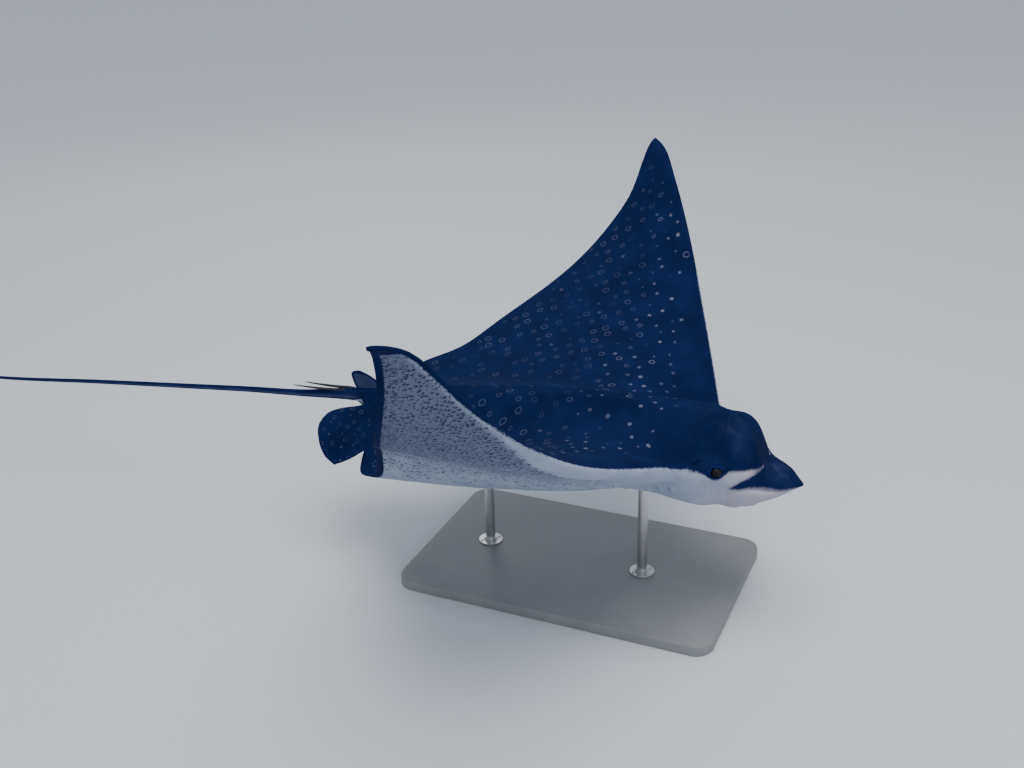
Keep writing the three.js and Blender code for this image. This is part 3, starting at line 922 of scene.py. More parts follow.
def addNode(tree, kind, sockets=None, **settings):
    node = tree.nodes.new(kind)
    for name, value in settings.items():
        setattr(node, name, value)
    return fill(tree, node, sockets or {})


def put(tree, kind, sockets=None, **settings):
    return addNode(tree, "ShaderNode" + kind, sockets, **settings)


def calc(tree, operation, *values, **settings):
    return put(tree, "Math", dict(enumerate(values)), operation=operation, **settings).outputs[0]


def times(tree, first, *others):
    for other in others:
        first = calc(tree, "MULTIPLY", first, other)
    return first


def ease(tree, value, low, high, start=0.0, end=1.0):
    sockets = {"Value": value, "From Min": low, "From Max": high, "To Min": start, "To Max": end}
    return put(tree, "MapRange", sockets, interpolation_type="SMOOTHSTEP").outputs["Result"]


def mapped(tree, place, **sockets):
    return put(tree, "Mapping", {"Vector": place, **sockets}).outputs[0]


def vector(tree, operation, sockets):
    return put(tree, "VectorMath", sockets, operation=operation).outputs[0]


def blend(tree, factor, a, b, mode="MIX"):
    return put(tree, "Mix", {0: factor, 6: a, 7: b}, data_type="RGBA", blend_type=mode).outputs[2]


def noise(tree, place, scale, detail=3.0, roughness=0.5, output="Fac"):
    sockets = {"Vector": place, "Scale": scale, "Detail": detail, "Roughness": roughness}
    return put(tree, "TexNoise", sockets).outputs[output]


def newGroup(name, inputs, outputs, kindOfTree="ShaderNodeTree"):
    tree = bpy.data.node_groups.new(name, kindOfTree)
    for label, kind, value in inputs:
        socket = tree.interface.new_socket(name=label, in_out="INPUT", socket_type="NodeSocket" + kind)
        if value is not None:
            socket.default_value = value
    for label, kind in outputs:
        tree.interface.new_socket(name=label, in_out="OUTPUT", socket_type="NodeSocket" + kind)
    return tree, tree.nodes.new("NodeGroupInput").outputs, tree.nodes.new("NodeGroupOutput").inputs


def useGroup(tree, group, **sockets):
    return put(tree, "Group", sockets, node_tree=group).outputs


def ringSpotGroup():
    # scattered rings and small solid spots, one to each cell of a loose net
    inputs = [
        ("Place", "Vector", None), ("Spacing", "Float", 0.024), ("Radius", "Float", 0.005),
        ("Line", "Float", 0.0012), ("Amount", "Float", 1.0), ("Solid", "Float", 0.2),
        ("Random", "Float", 0.8),
    ]
    tree, given, result = newGroup("ringSpots", inputs, [("Mask", "Float")])
    radiusRange, spotRange, strengthRange = (0.6, 1.12), (0.5, 0.85), (0.55, 1.0)
    cloud = noise(tree, given["Place"], 90.0, 1.0, output="Color")
    wobble = vector(tree, "SUBTRACT", {0: cloud, 1: (0.5, 0.5, 0.5)})
    wobble = vector(tree, "SCALE", {0: wobble, "Scale": 0.004})
    place = vector(tree, "ADD", {0: given["Place"], 1: wobble})
    perMetre = calc(tree, "DIVIDE", 1.0, given["Spacing"])
    sockets = {"Vector": place, "Scale": perMetre, "Randomness": given["Random"]}
    net = put(tree, "TexVoronoi", sockets, voronoi_dimensions="2D")
    reach = times(tree, net.outputs["Distance"], given["Spacing"])
    chance = put(tree, "SeparateColor", {0: net.outputs["Color"]}).outputs
    radius = times(tree, given["Radius"], ease(tree, chance[0], 0.0, 1.0, *radiusRange))
    offRing = calc(tree, "ABSOLUTE", calc(tree, "SUBTRACT", reach, radius))
    lineStart, lineEnd = (times(tree, given["Line"], share) for share in (0.35, 1.5))
    ring = ease(tree, offRing, lineStart, lineEnd, 1.0, 0.0)
    spotStart, spotEnd = (times(tree, radius, share) for share in spotRange)
    spot = ease(tree, reach, spotStart, spotEnd, 1.0, 0.0)
    isSolid = calc(tree, "LESS_THAN", chance[1], given["Solid"])
    shape = put(tree, "Mix", {0: isSolid, 2: ring, 3: spot}, data_type="FLOAT").outputs[0]
    # more cells carry a mark where the amount is greater
    presentFrom, presentTo = calc(tree, "SUBTRACT", chance[2], 0.12), calc(tree, "ADD", chance[2], 0.02)
    present = ease(tree, given["Amount"], presentFrom, presentTo)
    present = times(tree, present, ease(tree, given["Amount"], 0.0, 0.06))
    strength = ease(tree, chance[0], 0.0, 1.0, *strengthRange)
    tree.links.new(times(tree, shape, present, strength), result["Mask"])
    return tree


def fineGrainGroup():
    # close-grained unevenness for bump and sheen, used by every finish
    tree, given, result = newGroup(
        "fineGrain",
        [("Place", "Vector", None), ("Size", "Float", 0.003), ("Broad", "Float", 0.05)],
        [("Height", "Float"), ("Mottle", "Float")],
    )
    fine = noise(tree, given["Place"], calc(tree, "DIVIDE", 1.0, given["Size"]), 4.0, 0.6)
    broad = noise(tree, given["Place"], calc(tree, "DIVIDE", 1.0, given["Broad"]), 5.0, 0.55)
    height = calc(tree, "ADD", times(tree, fine, 0.6), times(tree, broad, 0.4))
    tree.links.new(height, result["Height"])
    tree.links.new(ease(tree, broad, 0.25, 0.75), result["Mottle"])
    return tree


ringSpots, fineGrain = ringSpotGroup(), fineGrainGroup()


def newMaterial(name):
    material = bpy.data.materials.new(name)
    material.use_nodes = True
    tree = material.node_tree
    return material, tree, tree.nodes["Principled BSDF"]


def startFinish(name, size, broad):
    # a material with its place on the object and the fine grain there
    material, tree, shader = newMaterial(name)
    place = put(tree, "TexCoord").outputs["Object"]
    return material, tree, shader, place, useGroup(tree, fineGrain, Place=place, Size=size, Broad=broad)


def dress(tree, shader, sockets, height, depth, strength=1.0):
    # gives the shader its values and links, and a bump made from a height
    bump = put(tree, "Bump", {"Height": height, "Distance": depth, "Strength": strength})
    fill(tree, shader, {**sockets, "Normal": bump.outputs[0]})


skinLook = {
    "back": (0.0040, 0.0082, 0.048, 1),
    "backPale": (0.0078, 0.0150, 0.074, 1),
    # painted highlight for the rostrum's ridge and the crown
    "paintedHighlight": (0.045, 0.055, 0.15, 1),
    "stripe": (0.07, 0.09, 0.19, 1),
    "belly": (0.38, 0.43, 0.54, 1),
    "bellyShade": (0.28, 0.33, 0.44, 1),
    "dusk": (0.10, 0.115, 0.19, 1),
    "blush": (0.48, 0.42, 0.47, 1),
    "ring": (0.36, 0.37, 0.50, 1),
    "speckle": (0.018, 0.024, 0.06, 1),
    "roughness": (0.70, 0.88),
    "specular": 0.03,
    "grain": 0.0022,
    "bump": 0.00035,
    "rings": {"Spacing": 0.033, "Radius": 0.006, "Line": 0.0011, "Random": 0.54},
    "flecks": {"Spacing": 0.0088, "Radius": 0.0047, "Line": 0.001, "Solid": 1.0, "Random": 0.9},
    "ragged": 0.0056,  # metres by which the edge between back and belly wanders
    "edgeSoftness": (0.0015, 0.0036),
}


def skinMaterial():
    material, tree, shader, place, grain = startFinish("raySkin", skinLook["grain"], 0.06)
    field = lambda name: put(tree, "Attribute", attribute_name=name).outputs["Fac"]
    flat = put(tree, "UVMap", uv_map="flat").outputs["UV"]
    edgeWise = put(tree, "UVMap", uv_map="edgeWise").outputs["UV"]
    mottle = grain["Mottle"]

    def tinted(base, name, *shares):
        return blend(tree, times(tree, *shares), base, skinLook[name])

    # back
    back = blend(tree, mottle, skinLook["back"], skinLook["backPale"])
    # painted highlight on the rostrum's ridge and the crown, broken up by a cloud of noise
    cloud = ease(tree, noise(tree, place, 22.0, 4.0, 0.6), 0.42, 0.7)
    back = tinted(back, "paintedHighlight", field("paintedHighlight"), cloud, 0.75)
    back = tinted(back, "stripe", field("stripe"), ease(tree, mottle, 0.0, 1.0, 0.55, 1.0))
    rings = useGroup(
        tree, ringSpots,
        Place=mapped(tree, flat, Rotation=(0, 0, 0.55)),
        Amount=times(tree, field("rings"), 0.86),
        Solid=ease(tree, field("dots"), 0.0, 0.9, 0.1, 0.95),
        **skinLook["rings"],
    )
    faded = ease(tree, noise(tree, flat, 9.0, 3.0), 0.32, 0.62, 0.055, 0.165)
    bolder = ease(tree, field("dots"), 0.0, 0.8, 0.9, 2.2)
    back = tinted(back, "ring", rings["Mask"], times(tree, faded, bolder))
    # belly
    belly = blend(tree, mottle, skinLook["belly"], skinLook["bellyShade"])
    warm = ease(tree, noise(tree, place, 14.0, 4.0), 0.35, 0.65, 0.35, 1.0)
    belly = tinted(belly, "blush", field("blush"), warm, 0.75)
    belly = tinted(belly, "dusk", field("dusk"), 0.85)
    stretched = mapped(tree, flat, Rotation=(0, 0, 0.42), Scale=(1.0, 1.55, 1.0))
    flecks = useGroup(tree, ringSpots, Place=stretched, Amount=field("speckles"), **skinLook["flecks"])
    grit = ease(tree, noise(tree, stretched, 260.0, 2.0, 0.7), 0.60, 0.70)
    speckle = calc(tree, "MAXIMUM", flecks["Mask"], times(tree, grit, field("speckles"), 0.55))
    comb = mapped(tree, edgeWise, Scale=(1.0, 0.14, 1.0))
    streak = ease(tree, noise(tree, comb, 330.0, 2.0, 0.6), 0.5, 0.62)
    speckle = calc(tree, "MAXIMUM", speckle, times(tree, streak, field("streaks")))
    belly = tinted(belly, "speckle", speckle, 0.85)
    # the line between them, a little ragged
    wander = calc(tree, "SUBTRACT", noise(tree, place, 190.0, 3.0, 0.6), 0.5)
    edge = calc(tree, "ADD", field("darkEdge"), times(tree, wander, skinLook["ragged"]))
    softness = ease(tree, field("blush"), 0.0, 1.0, *skinLook["edgeSoftness"])
    dark = ease(tree, edge, times(tree, softness, -1.0), softness)
    dress(tree, shader, {
        "Base Color": blend(tree, dark, belly, back),
        "Roughness": ease(tree, mottle, 0.0, 1.0, *skinLook["roughness"]),
        "Specular IOR Level": skinLook["specular"],
    }, grain["Height"], skinLook["bump"])
    return material


skinPiece.data.materials.append(skinMaterial())
fleshNodes = [
    "rostrum", "head", "trunk", "wing_right", "wing_left", "pelvic_fin_right", "pelvic_fin_left",
    "dorsal_fin", "tail_base", "tail_front", "tail_middle", "tail_tip",
]
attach(skinPiece, "root")
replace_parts(skinPiece, *fleshNodes)
print("skin finished")

eyeLook = {
    "pupil": (0.002, 0.002, 0.003, 1),
    "iris": (0.006, 0.006, 0.008, 1),
    "irisFleck": (0.026, 0.021, 0.015, 1),
    "white": (0.012, 0.012, 0.018, 1),
    "pupilSize": (0.6, 0.44),
    "gloss": {
        "Roughness": 0.3, "Specular IOR Level": 0.08, "Coat Weight": 0.25, "Coat Roughness": 0.03,
    },
}


def eyeMaterial():
    material, tree, shader = newMaterial("rayEye")
    face = put(tree, "UVMap", uv_map="eyeFace").outputs["UV"]
    along, up, _ = put(tree, "SeparateXYZ", {0: face}).outputs
    wide, tall = eyeLook["pupilSize"]

    def radiusOf(x, y):
        squares = calc(tree, "ADD", times(tree, x, x), times(tree, y, y))
        return calc(tree, "SQRT", squares)

    pupil = radiusOf(calc(tree, "DIVIDE", along, wide), calc(tree, "DIVIDE", up, tall))
    reach = radiusOf(along, up)
    fleck = noise(tree, face, 9.0, 4.0, 0.7)
    iris = blend(tree, ease(tree, fleck, 0.35, 0.7), eyeLook["iris"], eyeLook["irisFleck"])
    colour = blend(tree, ease(tree, reach, 0.66, 0.74), iris, eyeLook["white"])
    colour = blend(tree, ease(tree, pupil, 1.06, 0.94), colour, eyeLook["pupil"])
    fill(tree, shader, {"Base Color": colour, **eyeLook["gloss"]})
    return material


def makeEye(name, side, material):
    # an eyeball facing outwards, with the clear front swelling a little
    rings, segments = eyes["ballRings"], eyes["ballSegments"]
    along, out, high = eyes["radii"]
    centre = np.array([balanceT - eyes["t"], side * eyes["out"], swimHeight + eyes["up"]])
    points, faces, face = [], [], []
    for i in range(rings + 1):
        polar = math.pi * i / rings
        for j in range(segments):
            turn = 2 * math.pi * j / segments
            x, z = math.sin(polar) * math.cos(turn), math.sin(polar) * math.sin(turn)
            swelling = eyes["swelling"] * bell(math.sin(polar), 0, 0.55) if polar < math.pi / 2 else 0
            y = math.cos(polar) * (1 + swelling)
            points.append((centre + np.array([x * along, side * y * out, z * high])) * mm)
            face.append((x, z))
            if i < rings:
                a, b = i * segments + j, i * segments + (j + 1) % segments
                faces.append((a, b, b + segments, a + segments))
    mesh = bpy.data.meshes.new(name)
    mesh.from_pydata([tuple(p) for p in points], [], faces)
    layer = mesh.uv_layers.new(name="eyeFace")
    for loop in mesh.loops:
        layer.data[loop.index].uv = face[loop.vertex_index]
    work = bmesh.new()
    work.from_mesh(mesh)
    bmesh.ops.remove_doubles(work, verts=work.verts, dist=1e-6)
    bmesh.ops.recalc_face_normals(work, faces=work.faces)
    for polygon in work.faces:
        polygon.smooth = True
    work.to_mesh(mesh)
    work.free()
    mesh.materials.append(material)
    piece = newPiece(name, mesh)
    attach(piece, "root")
    return piece


rayEye = eyeMaterial()
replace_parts(makeEye("eye_ball_right", -1, rayEye), "eye_right")
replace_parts(makeEye("eye_ball_left", 1, rayEye), "eye_left")
print("eyes made")

stings = {
    "upper": ((1022, 3, 10), (1157, 8, 1.5)),
    "lower": ((1030, -4, 5), (1178, -9, -2.6)),
    "rootHalf": 4.2,
    "tipHalf": 1,
    "flatness": 0.7,
    "sag": 2,
    "barbs": 44,
    "barbLength": 3.4,
    "barbLean": 150,  # degrees from the way the sting points
    "steps": 24,
    "dark": (0.008, 0.009, 0.02, 1),
    "pale": (0.02, 0.02, 0.032, 1),
    "line": (0.045, 0.042, 0.048, 1),
}


def newTree(name, inputs):
    inputs = [("Geometry", "Geometry", None), *inputs]
    return newGroup(name, inputs, [("Geometry", "Geometry")], "GeometryNodeTree")


def geo(tree, kind, sockets=None, **settings):
    return addNode(tree, "GeometryNode" + kind, sockets, **settings)


def closeTree(tree, given, result, geometry):
    real = geo(tree, "RealizeInstances", {"Geometry": geometry}).outputs[0]
    finished = geo(tree, "SetMaterial", {"Geometry": real, "Material": given["Material"]}).outputs[0]
    tree.links.new(finished, result["Geometry"])
    return tree


def stingTree():
    # a tapering blade along the path, with a row of backward barbs down each edge
    tree, given, result = newTree("barbedSting", [
        ("Half Width", "Float", 0.0042), ("Tip Share", "Float", 0.24), ("Flatness", "Float", 0.7),
        ("Barbs", "Int", 44), ("Barb Length", "Float", 0.0034), ("Barb Lean", "Float", 2.6),
        ("Material", "Material", None),
    ])
    path = geo(tree, "MeshToCurve", {"Mesh": given["Geometry"]}).outputs["Curve"]
    share = geo(tree, "SplineParameter").outputs["Factor"]
    squared = calc(tree, "POWER", share, 2.0)
    taper = put(tree, "MapRange", {"Value": squared, "To Min": 1.0, "To Max": given["Tip Share"]})
    root = ease(tree, share, 0.0, 0.1, 0.6, 1.0)
    radius = times(tree, taper.outputs[0], root, given["Half Width"])
    level = geo(tree, "SetCurveNormal", {"Curve": path}, mode="Z_UP").outputs[0]
    shaped = geo(tree, "SetCurveRadius", {"Curve": level, "Radius": radius}).outputs[0]
    circle = geo(tree, "CurvePrimitiveCircle", {"Resolution": 12, "Radius": 1.0}).outputs[0]
    squash = put(tree, "CombineXYZ", {"X": 1.0, "Y": given["Flatness"], "Z": 1.0}).outputs[0]
    profile = geo(tree, "Transform", {"Geometry": circle, "Scale": squash}).outputs[0]
    width = geo(tree, "InputRadius").outputs[0]
    sockets = {"Curve": shaped, "Profile Curve": profile, "Scale": width, "Fill Caps": True}
    blade = geo(tree, "CurveToMesh", sockets)
    sockets = {"Curve": shaped, "Count": given["Barbs"]}
    points = geo(tree, "CurveToPoints", sockets, mode="COUNT").outputs
    sockets = {"Vertices": 5, "Side Segments": 1, "Radius Top": 0.0, "Radius Bottom": 0.2, "Depth": 1.0}
    barb = geo(tree, "MeshCone", sockets).outputs["Mesh"]
    forward, upward = points["Tangent"], points["Normal"]
    aside = vector(tree, "CROSS_PRODUCT", {0: forward, 1: upward})
    sockets = {"Primary Axis": forward, "Secondary Axis": upward}
    aim = addNode(tree, "FunctionNodeAxesToRotation", sockets, primary_axis="Z", secondary_axis="Y")
    pieces = [blade.outputs[0]]
    for hand in (1, -1):
        swing = put(tree, "CombineXYZ", {"Y": times(tree, given["Barb Lean"], float(hand))}).outputs[0]
        lean = addNode(tree, "FunctionNodeEulerToRotation", {"Euler": swing}).outputs[0]
        sockets = {"Rotation": aim.outputs[0], "Rotate By": lean}
        turn = addNode(tree, "FunctionNodeRotateRotation", sockets, rotation_space="LOCAL").outputs[0]
        shift = vector(tree, "SCALE", {0: aside, "Scale": times(tree, width, 0.95 * hand)})
        moved = geo(tree, "SetPosition", {"Geometry": points[0], "Offset": shift}).outputs[0]
        sockets = {"Points": moved, "Instance": barb, "Rotation": turn, "Scale": given["Barb Length"]}
        pieces.append(geo(tree, "InstanceOnPoints", sockets).outputs[0])
    join = geo(tree, "JoinGeometry")
    for part in pieces:
        tree.links.new(part, join.inputs[0])
    return closeTree(tree, given, result, join.outputs[0])


def setInputs(modifier, tree, values):
    # a modifier's inputs go by the sockets' identifiers
    for item in tree.interface.items_tree:
        if item.item_type == "SOCKET" and item.in_out == "INPUT" and item.name in values:
            modifier[item.identifier] = values[item.name]


def grow(name, baseMesh, tree, values):
    # runs a geometry tree on a mesh and keeps the result as a plain mesh
    carrier = newPiece(name, baseMesh)
    modifier = carrier.modifiers.new("grow", "NODES")
    modifier.node_group = tree
    setInputs(modifier, tree, values)
    made = evaluated(carrier)
    carrier.modifiers.remove(modifier)
    carrier.data = made
    made.name = name
    return carrier


def hornMaterial():
    material, tree, shader, place, grain = startFinish("stingHorn", 0.0009, 0.012)
    lines = noise(tree, mapped(tree, place, Scale=(0.12, 1.0, 1.0)), 900.0, 3.0, 0.6)
    colour = blend(tree, grain["Mottle"], stings["dark"], stings["pale"])
    colour = blend(tree, ease(tree, lines, 0.45, 0.7), colour, stings["line"])
    roughness = ease(tree, lines, 0.2, 0.8, 0.38, 0.55)
    sockets = {"Base Color": colour, "Roughness": roughness, "Specular IOR Level": 0.2}
    dress(tree, shader, sockets, lines, 0.0003, 0.8)
    return material


stingHorn, barbedSting = hornMaterial(), stingTree()
for key in ("upper", "lower"):
    (fromT, fromY, fromUp), (toT, toY, toUp) = stings[key]
    line, steps = [], stings["steps"]
    for i in range(steps + 1):
        share = i / steps
        x, y = balanceT - lerp(fromT, toT, share), lerp(fromY, toY, share)
        up = lerp(fromUp, toUp, share) - stings["sag"] * math.sin(math.pi * share)
        line.append((x * mm, y * mm, (swimHeight + up) * mm))
    path = bpy.data.meshes.new("stingPath")
    path.from_pydata(line, [(i, i + 1) for i in range(steps)], [])
    piece = grow("barbed_sting_" + key, path, barbedSting, {
        "Half Width": stings["rootHalf"] * mm,
        "Tip Share": stings["tipHalf"] / stings["rootHalf"],
        "Flatness": stings["flatness"],
        "Barbs": stings["barbs"],
        "Barb Length": stings["barbLength"] * mm,
        "Barb Lean": math.radians(stings["barbLean"]),
        "Material": stingHorn,
    })
    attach(piece, "root")
    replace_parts(piece, "sting_" + key)
print("stings made")

stand = {
    "length": 700,
    "width": 440,
    "thick": 24,
    "corner": 40,
    "bevel": 3,
    "cornerSteps": 14,
    "bevelSteps": 4,
    "rodRadius": 11,
    "rodSeat": 14,
    "rodBury": 26,
    "rodT": (330, 690),
    "collarRadius": 27,
    "collarHeight": 11,
    "screws": 4,
    "screwCircle": 21,
    "screwHead": (3.2, 2.6),  # radius, height
    "screwHeight": 5.4,
}


def stacked(name, rings):
    # a closed mesh from rings of points one above the other
    count, last = len(rings[0]), len(rings) - 1
    faces = []
    for i in range(last):
        for j in range(count):
            a, b = i * count + j, i * count + (j + 1) % count
            faces.append((a, b, b + count, a + count))
    faces.append(tuple(range(count))[::-1])
    faces.append(tuple(range(last * count, len(rings) * count)))
    mesh = bpy.data.meshes.new(name)
    mesh.from_pydata([point for ring in rings for point in ring], [], faces)
    outward(mesh)
    return mesh


def turned(name, profile, sides, centreX, tilt=0.0):
    # a solid of revolution about an upright axis, from a profile of (radius, height)
    turns = [2 * math.pi * j / sides for j in range(sides)]
    rings = []
    for radius, height in profile:
        circle = [(radius * math.cos(angle), radius * math.sin(angle)) for angle in turns]
        rings.append([((centreX + x) * mm, y * mm, (height + tilt * x) * mm) for x, y in circle])
    return stacked(name, rings)


def shadeByAngle(mesh, limit=35):
    work = bmesh.new()
    work.from_mesh(mesh)
    for face in work.faces:
        face.smooth = True
    for edge in work.edges:
        edge.smooth = edge.calc_face_angle(0.0) < math.radians(limit)
    work.to_mesh(mesh)
    work.free()


def roundedRectangle(inset, height):
    corner = stand["corner"] - inset
    ends = stand["length"] / 2 - stand["corner"], stand["width"] / 2 - stand["corner"]
    points = []
    for quarter, (signX, signY) in enumerate(((1, 1), (-1, 1), (-1, -1), (1, -1))):
        for i in range(stand["cornerSteps"] + 1):
            angle = math.pi / 2 * (quarter + i / stand["cornerSteps"])
            x = signX * ends[0] + corner * math.cos(angle)
            y = signY * ends[1] + corner * math.sin(angle)
            points.append((x * mm, y * mm, height * mm))
    return points


def plateMesh():
    # a flat plate with rounded corners and a rolled edge
    levels = []
    bevel, thick, steps = stand["bevel"], stand["thick"], stand["bevelSteps"]
    for i in range(steps + 1):
        angle = math.pi / 2 * i / steps
        levels.append((bevel * (1 - math.sin(angle)), bevel * (1 - math.cos(angle))))
    levels += [(inset, thick - height) for inset, height in reversed(levels)]
    return stacked("stand_plate", [roundedRectangle(inset, height) for inset, height in levels])


standLook = {
    "paint": ((0.205, 0.212, 0.222, 1), (0.25, 0.257, 0.266, 1)),
    "paintFleck": (0.36, 0.37, 0.38, 1),
    "steel": ((0.50, 0.51, 0.52, 1), (0.63, 0.63, 0.63, 1)),
    "rubber": ((0.018, 0.018, 0.019, 1), (0.035, 0.034, 0.034, 1)),
}


def paintMaterial():
    material, tree, shader, place, grain = startFinish("standPaint", 0.0016, 0.12)
    cells = put(tree, "TexVoronoi", {"Vector": place, "Scale": 420.0}).outputs["Distance"]
    colour = blend(tree, grain["Mottle"], *standLook["paint"])
    colour = blend(tree, ease(tree, cells, 0.16, 0.05, 0.0, 0.5), colour, standLook["paintFleck"])
    roughness = ease(tree, grain["Mottle"], 0.0, 1.0, 0.44, 0.56)
    dress(tree, shader, {"Base Color": colour, "Roughness": roughness}, grain["Height"], 0.0005, 0.9)
    return material


def steelMaterial():
    material, tree, shader, place, grain = startFinish("standSteel", 0.004, 0.05)
    lines = noise(tree, mapped(tree, place, Scale=(0.05, 0.05, 1.0)), 2400.0, 3.0, 0.7)
    colour = blend(tree, ease(tree, lines, 0.3, 0.7), *standLook["steel"])
    polish = ease(tree, lines, 0.2, 0.8, 0.22, 0.34)
    roughness = calc(tree, "ADD", polish, times(tree, grain["Mottle"], 0.08))
    sockets = {"Base Color": colour, "Roughness": roughness, "Metallic": 1.0}
    dress(tree, shader, sockets, lines, 0.00012, 0.6)
    return material


def rubberMaterial():
    material, tree, shader, place, grain = startFinish("gripRubber", 0.0012, 0.02)
    colour = blend(tree, grain["Mottle"], *standLook["rubber"])
    dress(tree, shader, {"Base Color": colour, "Roughness": 0.7}, grain["Height"], 0.0004, 0.8)
    return material


def screwTree():
    # socket-headed screws standing on a ring of points
    tree, given, result = newTree("screwRing", [
        ("Head Radius", "Float", 0.0032), ("Head Height", "Float", 0.0024),
        ("Material", "Material", None),
    ])
    wide, tall = given["Head Radius"], given["Head Height"]
    head = geo(tree, "MeshCylinder", {"Vertices": 20, "Radius": wide, "Depth": tall}).outputs["Mesh"]
    sockets = {"Vertices": 6, "Radius": times(tree, wide, 0.5), "Depth": tall}
    socket = geo(tree, "MeshCylinder", sockets).outputs["Mesh"]
    lifted = put(tree, "CombineXYZ", {"Z": times(tree, tall, 0.45)}).outputs[0]
    cutter = geo(tree, "Transform", {"Geometry": socket, "Translation": lifted}).outputs[0]
    sockets = {"Mesh 1": head, "Mesh 2": cutter}
    cut = geo(tree, "MeshBoolean", sockets, operation="DIFFERENCE", solver="EXACT").outputs[0]
    placed = geo(tree, "InstanceOnPoints", {"Points": given["Geometry"], "Instance": cut}).outputs[0]
    return closeTree(tree, given, result, placed)


standPaint, standSteel, gripRubber = paintMaterial(), steelMaterial(), rubberMaterial()
plate = newPiece("stand_plate", plateMesh())
shadeByAngle(plate.data)
plate.data.materials.append(standPaint)
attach(plate, "root")
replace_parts(plate, "stand_base")

screwRing = screwTree()


def finishSteel(piece, material=standSteel):
    shadeByAngle(piece.data)
    if not piece.data.materials:
        piece.data.materials.append(material)
    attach(piece, "root")


def makeRod(node, t):
    # a rod from the plate into the belly, with a screwed collar and a rubber grip
    x, belly = balanceT - t, swimHeight + float(bottomLine(t))
    slope = -float(bottomLine(t + 15) - bottomLine(t - 15)) / 30
    top = belly + stand["rodBury"]
    radius, foot = stand["rodRadius"], stand["thick"] - stand["rodSeat"]
    rodProfile = [(radius - 1, foot), (radius, foot + 1), (radius, top - 1.2), (radius - 1.2, top)]
    rod = newPiece("stand_rod_" + node + "_turned", turned("rod", rodProfile, 48, x))
    wide, tall, base = stand["collarRadius"], stand["collarHeight"], stand["thick"]
    collarProfile = [
        (radius, base - 0.5), (wide, base - 0.5), (wide, base + 3.4), (wide - 0.8, base + 4.2),
        (radius + 5.5, base + 4.8), (radius + 4, base + 6), (radius + 4, base + tall - 1),
        (radius + 3, base + tall), (radius, base + tall),
    ]
    collar = newPiece("stand_collar_" + node, turned("collar", collarProfile, 64, x))
    gripProfile = [
        (radius, belly - 7), (radius + 5, belly - 7), (radius + 7, belly - 5),
        (radius + 7.4, belly - 1.5), (radius + 7, belly + 4), (radius, belly + 4),
    ]
    grip = newPiece("stand_grip_" + node, turned("grip", gripProfile, 56, x, slope))
    ring = bpy.data.meshes.new("screwPoints")
    circle, level, count = stand["screwCircle"], base + stand["screwHeight"], stand["screws"]
    turns = [2 * math.pi * (k + 0.5) / count for k in range(count)]
    screwPlaces = [(x + circle * math.cos(turn), circle * math.sin(turn), level) for turn in turns]
    ring.from_pydata([[value * mm for value in spot] for spot in screwPlaces], [], [])
    headRadius, headHeight = stand["screwHead"]
    screws = grow("stand_screws_" + node, ring, screwRing, {
        "Head Radius": headRadius * mm, "Head Height": headHeight * mm, "Material": standSteel,
    })
    finishSteel(rod)
    finishSteel(collar)
    finishSteel(grip, gripRubber)
    finishSteel(screws)
    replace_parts(rod, "stand_rod_" + node)


for rodNode, rodT in zip(("front", "rear"), stand["rodT"]):
    makeRod(rodNode, rodT)
print("stand made")

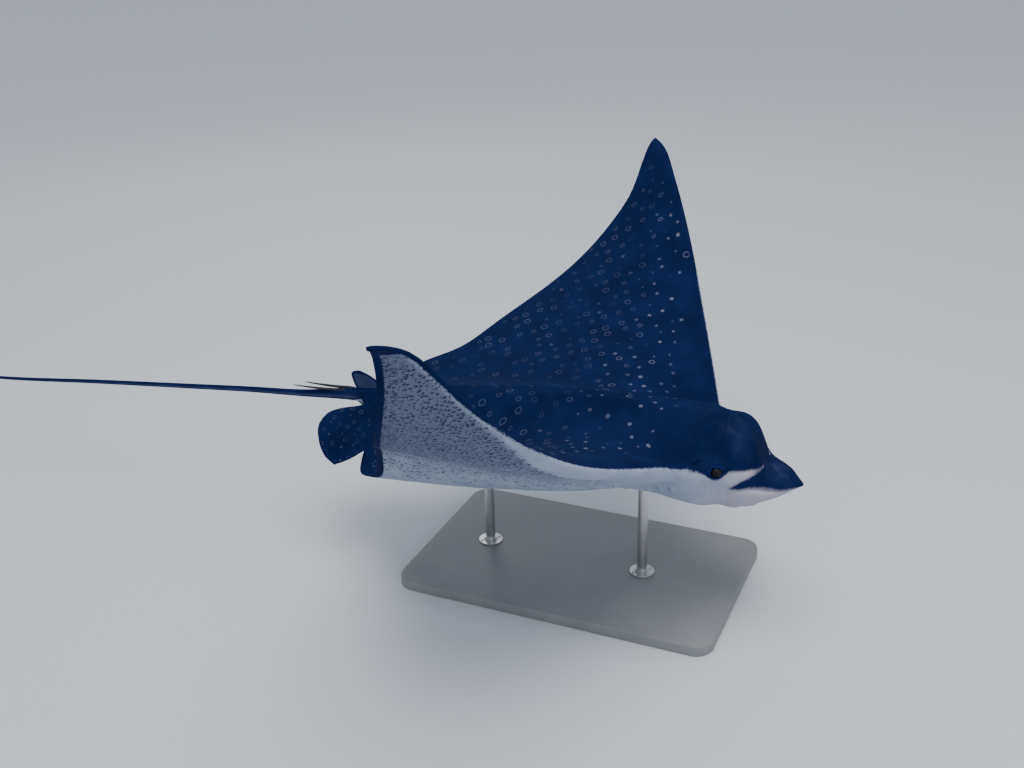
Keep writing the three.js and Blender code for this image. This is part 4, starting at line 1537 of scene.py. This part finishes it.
studio = {
    "floorColour": (0.70, 0.73, 0.76, 1),
    "floorSize": 80,
    "worldColour": (0.72, 0.77, 0.84, 1),
    "worldStrength": 0.8,
    "fieldOfView": 45,
    "azimuth": 24.2,
    "elevation": 24.2,
    "roll": 1.4,
    "cameraPlace": (0.82618, -2.18979, 1.50249),
    "lamps": {  # place, aim, size, power, colour
        "overhead": ((0.4, -0.4, 4.2), (-0.1, 0, 0.3), 3.4, 105, (1.0, 0.99, 0.97)),
        "front": ((2.6, -3.4, 1.9), (0, 0, 0.4), 2.2, 20, (0.95, 0.97, 1.0)),
        "behind": ((-2.4, 2.8, 2.6), (0, 0, 0.4), 2.0, 16, (0.92, 0.96, 1.0)),
    },
}


def makeFloor():
    half = studio["floorSize"] / 2
    mesh = bpy.data.meshes.new("floor")
    corners = [(-half, -half, 0), (half, -half, 0), (half, half, 0), (-half, half, 0)]
    mesh.from_pydata(corners, [], [(0, 1, 2, 3)])
    material, tree, shader = newMaterial("studioFloor")
    fill(tree, shader, {"Base Color": studio["floorColour"], "Roughness": 0.8})
    mesh.materials.append(material)
    floor = newPiece("floor", mesh)


def addLight(name, place, aim, size, power, colour):
    lamp = bpy.data.lights.new(name, "AREA")
    lamp.shape, lamp.size, lamp.energy, lamp.color = "DISK", size, power, colour
    holder = bpy.data.objects.new(name, lamp)
    bpy.context.scene.collection.objects.link(holder)
    holder.location = place
    holder.rotation_euler = (Vector(aim) - Vector(place)).to_track_quat("-Z", "Y").to_euler()


def makeCamera():
    azimuth, elevation = math.radians(studio["azimuth"]), math.radians(studio["elevation"])
    roll = math.radians(studio["roll"])
    flat = math.cos(elevation)
    back = Vector((math.sin(azimuth) * flat, -math.cos(azimuth) * flat, math.sin(elevation)))
    level = Vector((math.cos(azimuth), math.sin(azimuth), 0))
    upright = back.cross(level)
    right = math.cos(roll) * level - math.sin(roll) * upright
    up = math.sin(roll) * level + math.cos(roll) * upright
    lens = bpy.data.cameras.new("camera")
    lens.sensor_width = 36
    lens.lens = 18 / math.tan(math.radians(studio["fieldOfView"] / 2))
    lens.clip_start, lens.clip_end = 0.05, 200
    camera = bpy.data.objects.new("camera", lens)
    bpy.context.scene.collection.objects.link(camera)
    facing = Matrix((right, up, back)).transposed().to_4x4()
    camera.matrix_world = Matrix.Translation(studio["cameraPlace"]) @ facing
    bpy.context.scene.camera = camera


makeFloor()
for lampName, lampValues in studio["lamps"].items():
    addLight(lampName, *lampValues)
world = bpy.data.worlds.new("studioAir")
world.use_nodes = True
sky = world.node_tree.nodes["Background"]
fill(world.node_tree, sky, {"Color": studio["worldColour"], "Strength": studio["worldStrength"]})
bpy.context.scene.world = world
makeCamera()
print("studio made")
